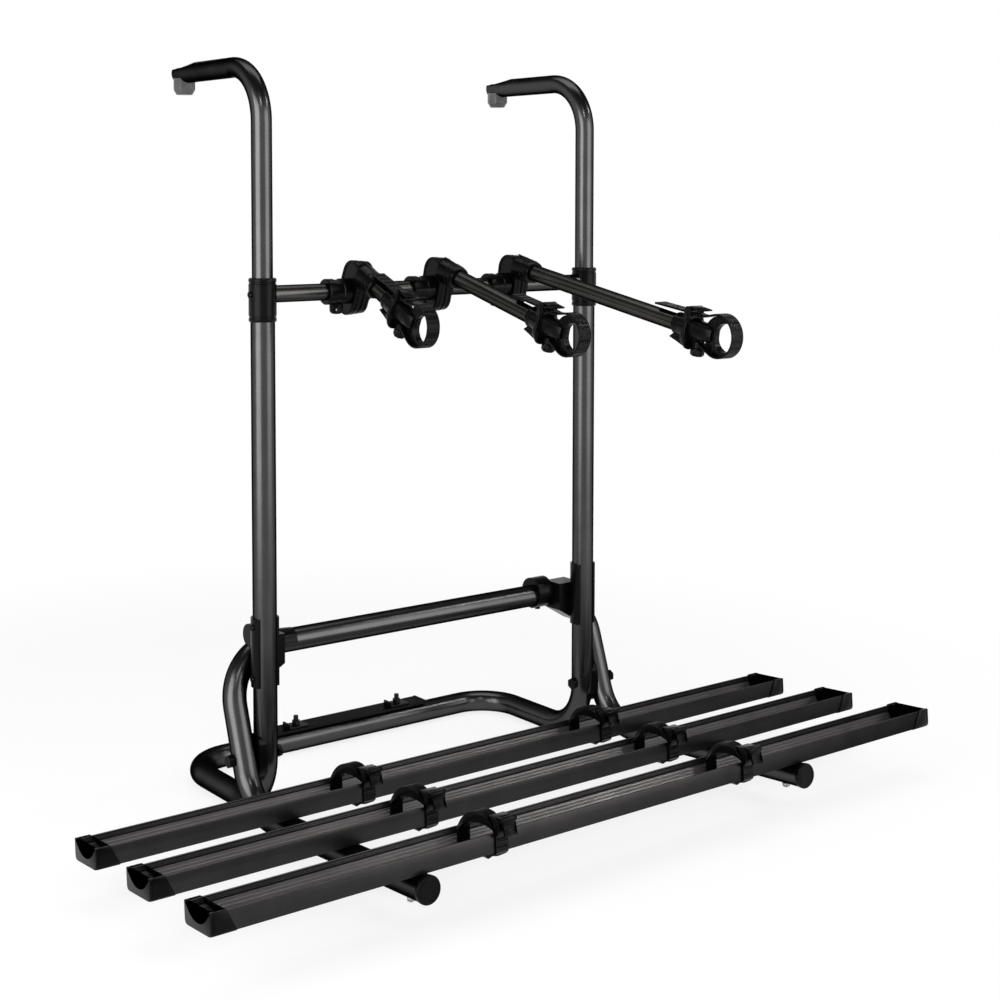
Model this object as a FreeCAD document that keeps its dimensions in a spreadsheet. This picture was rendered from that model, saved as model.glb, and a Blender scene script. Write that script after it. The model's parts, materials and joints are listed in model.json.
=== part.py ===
import FreeCAD, Part
import math
import os
import Sketcher
from FreeCAD import Placement, Rotation, Vector

# Motorhome bike rack, in millimetres. X runs along the rails, the vehicle is on the +Y side, Z is up.
# The origin is the centre of the wall adapter's back face. The drawings below use the rack's own zero:
# y = 0 on the uprights' axes and z = 0 on the axis of the floor loop.

SIZES = {
    # wall frame: one bent tube
    "upright_gap": 604,
    "frame_tube": 35,
    "frame_wall": 2,
    "upright_top": 752.5,
    "loop_reach": 248,
    "loop_bend": 80,
    "loop_corner": 70,
    # wall adapter: channel, caps, through bolts
    "adapter_length": 300,
    "adapter_wall": 4,
    "adapter_flange": 37,
    "adapter_gap": 0.3,
    "adapter_cap": 4,
    "adapter_bolt": 8,
    "adapter_bolt_spread": 200,
    "saddle_length": 36,
    "saddle_width": 24,
    "saddle_plate": 3,
    "saddle_lip": 8,
    "wall_hole": 6.5,
    "wall_hole_spread": 120,
    "wall_hole_rise": 24,
    # guide sleeves on the uprights
    "sleeve_width": 40,
    "sleeve_under": 44.3,
    "sleeve_over": 18,
    "sleeve_edge": 2,
    "guide_gap": 0.3,
    # upper crossbar
    "bar_tube": 25,
    "bar_wall": 2,
    "bar_height": 747,
    "bar_seat_gap": 0.1,
    # hooks that telescope in the uprights
    "hook_tube": 30,
    "hook_wall": 2,
    "hook_height": 1071.5,
    "hook_bend": 80,
    "hook_reach": 242,
    "hook_inside": 270,
    "hook_bevel": 9,
    "foot_width": 34,
    "foot_back": 13,
    "foot_height": 17,
    "foot_chamfer": 5,
    # fold pivots
    "pivot_height": 84,
    "pivot_bolt": 10,
    "pivot_hole_gap": 0.15,
    "pivot_bush": 14,
    "running_gap": 0.06,
    "body_gap": 0.3,
    "spacer_width": 32,
    "spacer_height": 66,
    # folding platform: one bent tube
    "platform_tube": 35,
    "platform_wall": 2,
    "low_bar_y": 47.5,
    "low_bar_z": 229,
    "arm_x": 339,
    "low_bar_corner": 80,
    "knee_y": -26,
    "knee_z": 13,
    "knee_bend": 78,
    "arm_length": 422.5,
    "platform_tilt": 4,
    "end_cap_width": 36.5,
    "end_cap_rim": 5,
    "end_cap_plug": 20,
    # wheel rails
    "rail_length": 1260,
    "rail_width": 60,
    "rail_height": 25,
    "rail_wall": 2.5,
    "rail_floor": 3,
    "rail_bead": 2,
    "rail_rib": 1.2,
    "rail_rib_width": 2,
    "first_rail": 88,
    "rail_pitch": 150,
    "rail_bolt": 6,
    "rail_cap_length": 32,
    "rail_cap_wall": 1.5,
    "rail_cap_end": 3,
    "rail_cap_notch": 58,
    "rail_cap_sill": 8.5,
    "rail_cap_fit": 0.2,
    # wheel straps: band, buckle and lever
    "strap_left_x": -219,
    "strap_right_x": 227,
    "strap_skew": 24,
    "strap_width": 20,
    "strap_thick": 3,
    "strap_inner_y": 15,
    "strap_under": 20,
    "buckle_width": 25,
    "buckle_deep": 9,
    "buckle_low": 20,
    "buckle_high": 47,
    "buckle_lever_length": 20,
    "buckle_lever_thick": 3,
    "hinge_barrel": 7,
    "hinge_pin": 3.2,
    # lower brackets and catches
    "clip_thick": 3,
    "clip_low": 183.5,
    "clip_height": 100,
    "clip_front": 11,
    "cradle_inner": 262,
    "cradle_rise": 22,
    "cradle_drop": 22,
    "cradle_play": 0.4,
    "gusset_drop": 45.5,
    "hub_width": 34,
    "hub_length": 5,
    "hub_y": 38,
    "hub_z": 249,
    "catch_outer": 47,
    "catch_rise": 6,
    "catch_length": 28,
    "catch_inner": 231,
    "catch_tongue": 30,
    # bike holders
    "holder_1_x": -145,
    "holder_2_x": 5,
    "holder_3_x": 152,
    "holder_1_arm": 84,
    "holder_2_arm": 230,
    "holder_3_arm": 373,
    "holder_1_lean": 25,
    "holder_2_lean": 15.3,
    "holder_3_lean": 10.5,
    "arm_rise": 30,
    "arm_tube": 25,
    "arm_wall": 2,
    "arm_inset": 20,
    "collar_wall": 3,
    "collar_left": 53,
    "collar_rim": 3,
    "collar_flange": 38,
    "lug_length": 20,
    "lug_drop": 33,
    "lug_thick": 7,
    "knuckle_length": 28,
    "knuckle_width": 46,
    "knuckle_groove": 3,
    "knuckle_step": 1.5,
    "knuckle_lift": 25,
    "knuckle_drop": 14,
    "neck_width": 38,
    "neck_mouth": 33,
    "neck_reach": 52,
    "socket_width": 32,
    "socket_length": 26,
    "flange_width": 38,
    "flange_height": 50,
    "flange_drop": 5.4,
    "flange_place": 28,
    "flange_thick": 5,
    "spur_back": 9,
    "core_width": 26,
    "core_height": 31,
    "core_end": 72,
    "claw_width": 10,
    "claw_start": 60,
    "claw_end": 100,
    "claw_hollow": 40,
    "hollow_place": 96,
    "ring_place": 84.5,
    "ring_lift": 2,
    "ring_outer": 62,
    "band_thick": 3,
    "band_width": 21,
    "band_top_turn": 20,
    "band_low_turn": 21,
    "band_dip": 50,
    "band_low_end": 53,
    "band_tail": 41,
    "band_tail_rise": 18,
    "lever_place": 27,
    "lever_rise": 27.6,
    "lever_length": 25,
    "lever_thick": 2.5,
    "knob_width": 20,
    "knob_height": 11,
    "knob_place": 44,
    "knob_drop": 25,
    "knob_stem": 8,
    # screws
    "screw": 5,
    "screw_head": 9,
    "screw_head_height": 2.4,
}

doc = FreeCAD.newDocument("bike_rack")
sheet = doc.addObject("Spreadsheet::Sheet", "dim")
for row, (name, value) in enumerate(SIZES.items(), start=1):
    sheet.set(f"A{row}", name)
    sheet.set(f"B{row}", str(value))
    sheet.setAlias(f"B{row}", name)
doc.recompute()

# distance from the uprights' axes to the wall face, and other sums that several pieces share
WALL_Y = "(dim.loop_reach + dim.frame_tube / 2 + dim.adapter_gap + dim.adapter_wall)"
UPRIGHT_X = "(dim.upright_gap / 2)"
RAIL_SEAT = "(dim.platform_tube / 2)"
RAIL_TREAD = "(dim.rail_floor + dim.rail_rib)"
CHANNEL_HALF = "(dim.frame_tube / 2 + dim.adapter_gap + dim.adapter_wall)"
SPACER_FACE = "(dim.arm_x - dim.platform_tube / 2 - dim.body_gap)"
ALONG = {
    "X": Rotation(Vector(0, 1, 0), 90),
    "Y": Rotation(Vector(1, 0, 0), -90),
    "Z": Rotation(),
}
FACING = {
    "X": Rotation(Vector(1, 1, 1), 120),
    "Y": Rotation(Vector(1, 0, 0), 90),
    "Z": Rotation(),
}
pieces = []


def size(text):
    """the number that an expression over the sheet gives now"""
    return float(sheet.evalExpression(text))


def bind(item, **texts):
    """tie the properties of an item to expressions over the sheet"""
    for prop, text in texts.items():
        item.setExpression(prop, text)


def spot(item, x, y, z, turned=None):
    """stand an item at x, y, z"""
    if turned is not None:
        item.Placement = Placement(Vector(), turned)
    for letter, text in zip("xyz", (x, y, z)):
        item.setExpression(f"Placement.Base.{letter}", text)
    return item


def box(name, long, wide, tall, x, y, z):
    """block with its lowest corner at x, y, z"""
    item = doc.addObject("Part::Box", name)
    bind(item, Length=long, Width=wide, Height=tall)
    return spot(item, x, y, z)


def cylinder(name, radius, length, x, y, z, along="Z"):
    """round bar that starts at x, y, z and runs along an axis"""
    item = doc.addObject("Part::Cylinder", name)
    bind(item, Radius=radius, Height=length)
    return spot(item, x, y, z, ALONG[along])


def cone(name, radius, far_radius, length, x, y, z, along="Z"):
    """tapered round bar that starts at x, y, z and runs along an axis"""
    item = doc.addObject("Part::Cone", name)
    bind(item, Radius1=radius, Radius2=far_radius, Height=length)
    return spot(item, x, y, z, ALONG[along])


def hexagon(name, radius, length, x, y, z, along="Z", sides=6):
    """bar with flat sides that starts at x, y, z"""
    item = doc.addObject("Part::Prism", name)
    item.Polygon = sides
    bind(item, Circumradius=radius, Height=length)
    return spot(item, x, y, z, ALONG[along])


def outline(sketch, corners):
    """closed outline whose corners are expressions, each held from the sketch's origin"""
    points = [Vector(size(u), size(v), 0) for u, v in corners]
    count = len(points)
    for index in range(count):
        sketch.addGeometry(Part.LineSegment(points[index], points[(index + 1) % count]), False)
    for index in range(count):
        sketch.addConstraint(Sketcher.Constraint("Coincident", index, 2, (index + 1) % count, 1))
    for index, corner in enumerate(corners):
        for kind, text in zip(("DistanceX", "DistanceY"), corner):
            rule = sketch.addConstraint(Sketcher.Constraint(kind, -1, 1, index, 1, size(text)))
            sketch.setExpression(f"Constraints[{rule}]", text)


def prism(name, corners, depth, x, y, z, facing):
    """flat outline given a depth: facing X it is drawn in y, z; facing Y in x, z and grows to -Y"""
    sketch = doc.addObject("Sketcher::SketchObject", name + "_outline")
    outline(sketch, corners)
    sketch.Placement = Placement(Vector(), FACING[facing])
    item = doc.addObject("Part::Extrusion", name)
    item.Base = sketch
    item.DirMode = "Normal"
    item.Solid = True
    bind(item, LengthFwd=depth)
    return spot(item, x, y, z)


def fuse(name, *items):
    """one solid from several"""
    item = doc.addObject("Part::MultiFuse", name)
    item.Shapes = list(items)
    return item


def cut(name, base, *tools):
    """a solid less its tools"""
    item = doc.addObject("Part::Cut", name)
    item.Base = base
    item.Tool = tools[0] if len(tools) == 1 else fuse(name + "_tools", *tools)
    return item


def common(name, *items):
    """what items have in common"""
    item = doc.addObject("Part::MultiCommon", name)
    item.Shapes = list(items)
    return item


def group(name, *items):
    """separate solids kept together"""
    item = doc.addObject("Part::Compound", name)
    item.Links = list(items)
    return item


def piece(label, item, x="0", y="0", z="0", lean=None):
    """make an item a piece of the rack, built at the rack's zero and set at x, y, z, leaning about X"""
    if lean is not None:
        item.Placement = Placement(Vector(), Rotation(Vector(1, 0, 0), 1))
        item.setExpression("Placement.Rotation.Angle", lean)
    spot(item, x, f"{y} - {WALL_Y}", z)
    item.Label = label
    pieces.append(item)
    return item


def tangent_path(points, bends):
    """straight runs through the points, joined by arcs of the given radii"""
    edges = []
    start = points[0]
    for index, radius in enumerate(bends, start=1):
        corner = points[index]
        back = (points[index - 1] - corner).normalize()
        ahead = (points[index + 1] - corner).normalize()
        turn = math.pi - back.getAngle(ahead)
        reach = radius * math.tan(turn / 2)
        arc_start = corner + back * reach
        arc_end = corner + ahead * reach
        inward = (back + ahead).normalize()
        middle = corner + inward * (radius / math.cos(turn / 2) - radius)
        edges.append(Part.LineSegment(start, arc_start).toShape())
        edges.append(Part.Arc(arc_start, middle, arc_end).toShape())
        start = arc_end
    edges.append(Part.LineSegment(start, points[-1]).toShape())
    return Part.Wire(edges)


def bent_bar(name, points, bends, diameter):
    """solid round bar bent along a path"""
    path = tangent_path(points, bends)
    ring = Part.Wire(Part.makeCircle(diameter / 2, points[0], points[1] - points[0]))
    item = doc.addObject("Part::Feature", name)
    item.Shape = path.makePipeShell([ring], True, False)
    return item


def bent_tube(name, points, bends, diameter, wall):
    """round tube bent along a path"""
    outside = bent_bar(name + "_outside", points, bends, diameter)
    inside = bent_bar(name + "_inside", points, bends, diameter - 2 * wall)
    return cut(name, outside, inside)


def band(name, stations, width, thick):
    """flat strap through stations x, y, z of its inner face, its thickness growing to the left of its way"""
    wires = []
    count = len(stations)
    for index, here in enumerate(stations):
        before = stations[max(index - 1, 0)]
        after = stations[min(index + 1, count - 1)]
        ways = [Vector(0, end.y - start.y, end.z - start.z).normalize()
                for start, end in ((before, here), (here, after)) if end is not start]
        way = sum(ways, Vector()).normalize()
        mitre = 1 / ways[0].dot(way)
        out = Vector(0, -way.z, way.y) * thick * mitre
        half = Vector(width / 2, 0, 0)
        wires.append(Part.makePolygon([here - half, here + half, here + half + out, here - half + out,
                                       here - half]))
    item = doc.addObject("Part::Feature", name)
    item.Shape = Part.makeLoft(wires, True, True)
    return item


def sided(x, side):
    """an x distance on the left (-1) or right (1) side"""
    return f"({side} * ({x}))"


def side_bar(name, radius, near, far, y, z, side):
    """round bar along X from near to far, both measured outwards from the middle"""
    start = f"(-({far}))" if side < 0 else f"({near})"
    return cylinder(name, radius, f"({far}) - ({near})", start, y, z, "X")


def side_box(name, near, far, y, wide, z, tall, side):
    """block between near and far, both measured outwards from the middle"""
    start = f"(-({far}))" if side < 0 else f"({near})"
    return box(name, f"({far}) - ({near})", wide, tall, start, y, z)


SIDES = (("left", -1), ("right", 1))

# wall frame: two uprights and a floor loop that reaches back to the wall
half_gap = size(UPRIGHT_X)
upright_top = size("dim.upright_top")
reach = size("dim.loop_reach")
frame_points = [
    Vector(-half_gap, 0, upright_top),
    Vector(-half_gap, 0, 0),
    Vector(-half_gap, reach, 0),
    Vector(half_gap, reach, 0),
    Vector(half_gap, 0, 0),
    Vector(half_gap, 0, upright_top),
]
frame_bends = [size("dim.loop_bend"), size("dim.loop_corner"), size("dim.loop_corner"), size("dim.loop_bend")]
frame_blank = bent_tube("frame_blank", frame_points, frame_bends, size("dim.frame_tube"), size("dim.frame_wall"))

screw_in = f"{UPRIGHT_X} + dim.frame_tube / 2 - dim.frame_wall"
frame_holes = [
    cylinder("pivot_drill", "dim.pivot_bolt / 2 + dim.pivot_hole_gap", "dim.upright_gap + 2 * dim.frame_tube",
             "-dim.upright_gap / 2 - dim.frame_tube", "0", "dim.pivot_height", "X"),
]
screw_heights = {
    "sleeve": "dim.bar_height",
    "clip_low": "(dim.clip_low + dim.clip_height / 8)",
    "clip_high": "(dim.clip_low + dim.clip_height * 7 / 8)",
}
screw_seats = {
    "sleeve": f"({UPRIGHT_X} + dim.sleeve_width / 2)",
    "clip_low": f"({UPRIGHT_X} + dim.frame_tube / 2 + dim.clip_thick)",
    "clip_high": f"({UPRIGHT_X} + dim.frame_tube / 2 + dim.clip_thick)",
}
screws = []
screw_drills = {"left": [], "right": []}
for side_name, side in SIDES:
    frame_holes.append(cylinder(f"adapter_drill_{side_name}", "dim.adapter_bolt / 2 + dim.pivot_hole_gap",
                                "2 * dim.frame_tube", sided("dim.adapter_bolt_spread / 2", side),
                                "dim.loop_reach", "-dim.frame_tube"))
    for where, height in screw_heights.items():
        name = f"{where}_screw_{side_name}"
        seat = screw_seats[where]
        drill = side_bar(name + "_drill", "dim.screw / 2", UPRIGHT_X, f"{seat} + dim.screw", "0", height, side)
        frame_holes.append(drill)
        screw_drills[side_name].append(drill)
        screws.append(fuse(name,
                           side_bar(name + "_shank", "dim.screw / 2", screw_in, seat, "0", height, side),
                           side_bar(name + "_head", "dim.screw_head / 2", seat,
                                    f"{seat} + dim.screw_head_height", "0", height, side)))
piece("wall_frame_tube", cut("frame_drilled", frame_blank, *frame_holes))
piece("frame_screws", group("frame_screw_set", *screws))

# wall adapter: a channel open to the front, which the loop's rear run lies in
channel_body = doc.addObject("PartDesign::Body", "channel_body")
channel_sketch = channel_body.newObject("Sketcher::SketchObject", "channel_outline")
side_plane = [item for item in channel_body.Origin.OriginFeatures if item.Role == "YZ_Plane"][0]
channel_sketch.AttachmentSupport = [(side_plane, "")]
channel_sketch.MapMode = "FlatFace"
channel_back = f"({WALL_Y})"
channel_front = f"({WALL_Y} - dim.adapter_flange)"
channel_web = f"({WALL_Y} - dim.adapter_wall)"
channel_lip = f"({CHANNEL_HALF} - dim.adapter_wall)"
outline(channel_sketch, [
    (channel_back, f"-{CHANNEL_HALF}"),
    (channel_back, CHANNEL_HALF),
    (channel_front, CHANNEL_HALF),
    (channel_front, channel_lip),
    (channel_web, channel_lip),
    (channel_web, f"-{channel_lip}"),
    (channel_front, f"-{channel_lip}"),
    (channel_front, f"-{CHANNEL_HALF}"),
])
channel_pad = channel_body.newObject("PartDesign::Pad", "channel_pad")
channel_pad.Profile = channel_sketch
channel_pad.Midplane = True
bind(channel_pad, Length="dim.adapter_length")
channel_holes = []
for side_name, side in SIDES:
    channel_holes.append(cylinder(f"channel_bolt_hole_{side_name}", "dim.adapter_bolt / 2 + dim.pivot_hole_gap",
                                  f"2 * {CHANNEL_HALF}", sided("dim.adapter_bolt_spread / 2", side),
                                  "dim.loop_reach", f"-{CHANNEL_HALF}"))
    for level_name, level in (("low", -1), ("high", 1)):
        channel_holes.append(cylinder(f"wall_hole_{side_name}_{level_name}", "dim.wall_hole / 2",
                                      "2 * dim.adapter_wall", sided("dim.wall_hole_spread / 2", side),
                                      f"{channel_web} - dim.adapter_wall / 2",
                                      sided("dim.wall_hole_rise / 2", level), "Y"))
piece("wall_adapter", cut("channel_drilled", channel_body, *channel_holes))

caps = []
bolts = []
plate_z = f"({CHANNEL_HALF})"
bolt_head = "(dim.adapter_bolt * 0.9)"
for side_name, side in SIDES:
    end = "(dim.adapter_length / 2)"
    cap_block = side_box(f"adapter_cap_block_{side_name}", end, f"{end} + dim.adapter_cap",
                         channel_front, "dim.adapter_flange", f"-{CHANNEL_HALF} - 1", f"2 * ({CHANNEL_HALF} + 1)",
                         side)
    cap_tube = side_bar(f"adapter_cap_tube_{side_name}", "dim.frame_tube / 2 + dim.adapter_gap", f"{end} - 1",
                        f"{end} + dim.adapter_cap + 1", "dim.loop_reach", "0", side)
    cap_mouth = side_box(f"adapter_cap_mouth_{side_name}", f"{end} - 1", f"{end} + dim.adapter_cap + 1",
                         f"{channel_front} - 1", "dim.loop_reach + 1 - " + channel_front, f"-{channel_lip}",
                         f"2 * {channel_lip}", side)
    caps.append(cut(f"adapter_cap_{side_name}", cap_block, cap_tube, cap_mouth))
    bolt_x = sided("dim.adapter_bolt_spread / 2", side)
    for level_name, level in (("low", -1), ("high", 1)):
        name = f"saddle_{side_name}_{level_name}"
        plate_low = f"({CHANNEL_HALF})" if level > 0 else f"(-{CHANNEL_HALF} - dim.saddle_plate)"
        lip_low = f"({CHANNEL_HALF})" if level > 0 else f"(-{CHANNEL_HALF} - dim.saddle_lip)"
        plate = box(name + "_plate", "dim.saddle_length", "dim.saddle_width", "dim.saddle_plate",
                    f"{bolt_x} - dim.saddle_length / 2", "dim.loop_reach - dim.saddle_width / 2", plate_low)
        lip = box(name + "_lip", "dim.saddle_plate", "dim.saddle_width", "dim.saddle_lip",
                  f"{bolt_x} - dim.saddle_length / 2", "dim.loop_reach - dim.saddle_width / 2", lip_low)
        hole = cylinder(name + "_hole", "dim.adapter_bolt / 2 + dim.pivot_hole_gap", "3 * dim.saddle_plate",
                        bolt_x, "dim.loop_reach", f"{plate_low} - dim.saddle_plate")
        bolts.append(cut(name, fuse(name + "_blank", plate, lip), hole))
    head_low = f"-{CHANNEL_HALF} - dim.saddle_plate - {bolt_head}"
    nut_low = f"{CHANNEL_HALF} + dim.saddle_plate"
    shank = cylinder(f"adapter_shank_{side_name}", "dim.adapter_bolt / 2",
                     f"2 * ({CHANNEL_HALF} + dim.saddle_plate + {bolt_head}) + dim.adapter_bolt", bolt_x,
                     "dim.loop_reach", head_low)
    head = hexagon(f"adapter_head_{side_name}", "dim.adapter_bolt * 0.9", bolt_head, bolt_x, "dim.loop_reach",
                   head_low)
    nut = hexagon(f"adapter_nut_blank_{side_name}", "dim.adapter_bolt * 0.9", bolt_head, bolt_x,
                  "dim.loop_reach", nut_low)
    nut_hole = cylinder(f"adapter_nut_hole_{side_name}", "dim.adapter_bolt / 2", bolt_head, bolt_x,
                        "dim.loop_reach", nut_low)
    bolts.append(fuse(f"adapter_bolt_{side_name}", shank, head))
    bolts.append(cut(f"adapter_nut_{side_name}", nut, nut_hole))
piece("adapter_end_caps", group("adapter_cap_set", *caps))
piece("adapter_bolts", group("adapter_bolt_set", *bolts))

# guide sleeves: turned shapes that sit on the uprights and guide the hook tubes
for side_name, side in SIDES:
    sleeve_body = doc.addObject("PartDesign::Body", f"sleeve_body_{side_name}")
    sleeve_sketch = sleeve_body.newObject("Sketcher::SketchObject", f"sleeve_outline_{side_name}")
    front_plane = [item for item in sleeve_body.Origin.OriginFeatures if item.Role == "XZ_Plane"][0]
    sleeve_sketch.AttachmentSupport = [(front_plane, "")]
    sleeve_sketch.MapMode = "FlatFace"
    outline(sleeve_sketch, [
        ("dim.frame_tube / 2", "-dim.sleeve_under"),
        ("dim.sleeve_width / 2 - dim.sleeve_edge / 2", "-dim.sleeve_under"),
        ("dim.sleeve_width / 2", "dim.sleeve_edge - dim.sleeve_under"),
        ("dim.sleeve_width / 2", "dim.sleeve_over - dim.sleeve_edge"),
        ("dim.sleeve_width / 2 - dim.sleeve_edge", "dim.sleeve_over"),
        ("dim.hook_tube / 2 + dim.guide_gap", "dim.sleeve_over"),
        ("dim.hook_tube / 2 + dim.guide_gap", "0"),
        ("dim.frame_tube / 2", "0"),
    ])
    sleeve_turn = sleeve_body.newObject("PartDesign::Revolution", f"sleeve_turn_{side_name}")
    sleeve_turn.Profile = sleeve_sketch
    sleeve_turn.ReferenceAxis = (sleeve_sketch, ["V_Axis"])
    sleeve_turn.Angle = 360
    spot(sleeve_body, sided(UPRIGHT_X, side), "0", "dim.upright_top")
    piece(f"sleeve_{side_name}", cut(f"sleeve_drilled_{side_name}", sleeve_body, screw_drills[side_name][0]))

# upper crossbar: its ends are notched to fit the sleeves
bar_outside = cylinder("bar_outside", "dim.bar_tube / 2", "dim.upright_gap", f"-{UPRIGHT_X}", "0",
                       "dim.bar_height", "X")
bar_inside = cylinder("bar_inside", "dim.bar_tube / 2 - dim.bar_wall", "dim.upright_gap", f"-{UPRIGHT_X}", "0",
                      "dim.bar_height", "X")
bar_notches = [
    cylinder(f"bar_notch_{side_name}", "dim.sleeve_width / 2 + dim.bar_seat_gap", "2 * dim.bar_tube",
             sided(UPRIGHT_X, side), "0", "dim.bar_height - dim.bar_tube")
    for side_name, side in SIDES
]
piece("upper_crossbar", cut("bar_cut", bar_outside, bar_inside, *bar_notches))

# hooks: tubes that slide in the uprights and bend over towards the vehicle, each on a faceted foot
for side_name, side in SIDES:
    hook_x = side * half_gap
    hook_points = [
        Vector(hook_x, 0, upright_top - size("dim.hook_inside")),
        Vector(hook_x, 0, size("dim.hook_height")),
        Vector(hook_x, size("dim.hook_reach"), size("dim.hook_height")),
    ]
    blank = bent_tube(f"hook_blank_{side_name}", hook_points, [size("dim.hook_bend")], size("dim.hook_tube"),
                      size("dim.hook_wall"))
    x = sided(UPRIGHT_X, side)
    bevel = prism(f"hook_bevel_{side_name}",
                  [("dim.hook_reach - 6 * dim.hook_bevel", "dim.hook_height + dim.hook_tube / 2"),
                   ("dim.hook_reach + 1", "dim.hook_height + dim.hook_tube / 2 - dim.hook_bevel"),
                   ("dim.hook_reach + 1", "dim.hook_height + dim.hook_tube")],
                  "2 * dim.hook_tube", f"{x} - dim.hook_tube", "0", "0", "X")
    piece(f"hook_tube_{side_name}", cut(f"hook_bevelled_{side_name}", blank, bevel))
    foot_y = "(dim.hook_reach - dim.foot_back)"
    foot_top = "(dim.hook_height - dim.hook_tube / 4)"
    foot_low = "(dim.hook_height - dim.hook_tube / 2 - dim.foot_height)"
    upper = hexagon(f"foot_upper_{side_name}", "dim.foot_width / 2",
                    f"{foot_top} - {foot_low} - dim.foot_height / 2", x, foot_y,
                    f"{foot_low} + dim.foot_height / 2", sides=8)
    lower = cone(f"foot_lower_{side_name}", "dim.foot_width / 2 - dim.foot_chamfer", "dim.foot_width / 2",
                 "dim.foot_height / 2", x, foot_y, foot_low)
    facets = hexagon(f"foot_facets_{side_name}", "dim.foot_width / 2", "dim.foot_height / 2", x, foot_y,
                     foot_low, sides=8)
    lower_cut = common(f"foot_lower_cut_{side_name}", lower, facets)
    saddle = cylinder(f"foot_saddle_{side_name}", "dim.hook_tube / 2", "4 * dim.foot_width", x,
                      f"{foot_y} - 2 * dim.foot_width", "dim.hook_height", "Y")
    foot = cut(f"foot_cut_{side_name}", fuse(f"foot_blank_{side_name}", upper, lower_cut), saddle)
    piece(f"hook_foot_{side_name}", foot)

# folding platform: the lower crossbar and both arms are one bent tube
arm_x = size("dim.arm_x")
tilt = math.radians(size("dim.platform_tilt"))
knee_y = size("dim.knee_y")
knee_z = size("dim.knee_z")
bar_y = size("dim.low_bar_y")
bar_z = size("dim.low_bar_z")
end_y = knee_y - size("dim.arm_length") * math.cos(tilt)
end_z = knee_z + size("dim.arm_length") * math.sin(tilt)
platform_points = [
    Vector(-arm_x, end_y, end_z),
    Vector(-arm_x, knee_y, knee_z),
    Vector(-arm_x, bar_y, bar_z),
    Vector(arm_x, bar_y, bar_z),
    Vector(arm_x, knee_y, knee_z),
    Vector(arm_x, end_y, end_z),
]
platform_bends = [size("dim.knee_bend"), size("dim.low_bar_corner"), size("dim.low_bar_corner"),
                  size("dim.knee_bend")]
platform_blank = bent_tube("platform_blank", platform_points, platform_bends, size("dim.platform_tube"),
                           size("dim.platform_wall"))
LEAN = "-dim.platform_tilt"


def along_arm(item):
    """set an item that is drawn along a level arm on the leaning one"""
    item.Placement = Placement(Vector(), Rotation(Vector(1, 0, 0), 1))
    item.setExpression("Placement.Rotation.Angle", LEAN)
    return spot(item, "0", "dim.knee_y", "dim.knee_z")


RAILS = (("rear", "(dim.first_rail)"), ("middle", "(dim.first_rail + dim.rail_pitch)"),
         ("front", "(dim.first_rail + 2 * dim.rail_pitch)"))
arm_drills = []
rail_bolts = []
bolt_seat = f"({RAIL_SEAT} + {RAIL_TREAD})"
nut_height = "(dim.rail_bolt * 0.8)"
for rail_name, along in RAILS:
    for side_name, side in SIDES:
        name = f"rail_bolt_{rail_name}_{side_name}"
        x = sided("dim.arm_x", side)
        arm_drills.append(cylinder(name + "_drill", "dim.rail_bolt / 2 + dim.pivot_hole_gap",
                                   "2 * dim.platform_tube", x, f"-{along}", "-dim.platform_tube"))
        shank = cylinder(name + "_shank", "dim.rail_bolt / 2", f"{bolt_seat} + {RAIL_SEAT} + {nut_height}", x,
                         f"-{along}", f"-{RAIL_SEAT} - {nut_height}")
        dome = cone(name + "_dome", "dim.rail_bolt", "dim.rail_bolt * 0.6", "dim.rail_bolt / 2", x, f"-{along}",
                    bolt_seat)
        nut = hexagon(name + "_nut_blank", "dim.rail_bolt * 0.95", nut_height, x, f"-{along}",
                      f"-{RAIL_SEAT} - {nut_height}")
        nut_hole = cylinder(name + "_nut_hole", "dim.rail_bolt / 2", nut_height, x, f"-{along}",
                            f"-{RAIL_SEAT} - {nut_height}")
        rail_bolts.append(fuse(name, shank, dome))
        rail_bolts.append(cut(name + "_nut", nut, nut_hole))
drill_set = along_arm(fuse("arm_drill_set", *arm_drills))
bush_drill = cylinder("bush_drill", "dim.pivot_bush / 2", "2 * dim.arm_x + 2 * dim.platform_tube",
                      "-dim.arm_x - dim.platform_tube", "0", "dim.pivot_height", "X")
platform_drilled = cut("platform_drilled", platform_blank, drill_set, bush_drill)
# the bent tube is given as its straight arms and the hoop behind them, face to face under the first rail
arm_zone = box("arm_zone", "4 * dim.arm_x", "dim.arm_length", "4 * dim.platform_tube", "-2 * dim.arm_x",
               "-dim.knee_bend - dim.arm_length", "-2 * dim.platform_tube")
arm_zone_set = along_arm(group("arm_zone_set", arm_zone))
piece("platform_tube", group("platform_tube_set", cut("platform_hoop", platform_drilled, arm_zone_set),
                             common("platform_arms", platform_drilled, arm_zone_set)))
piece("rail_bolts", group("rail_bolt_set", *rail_bolts), y="dim.knee_y", z="dim.knee_z", lean=LEAN)

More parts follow.
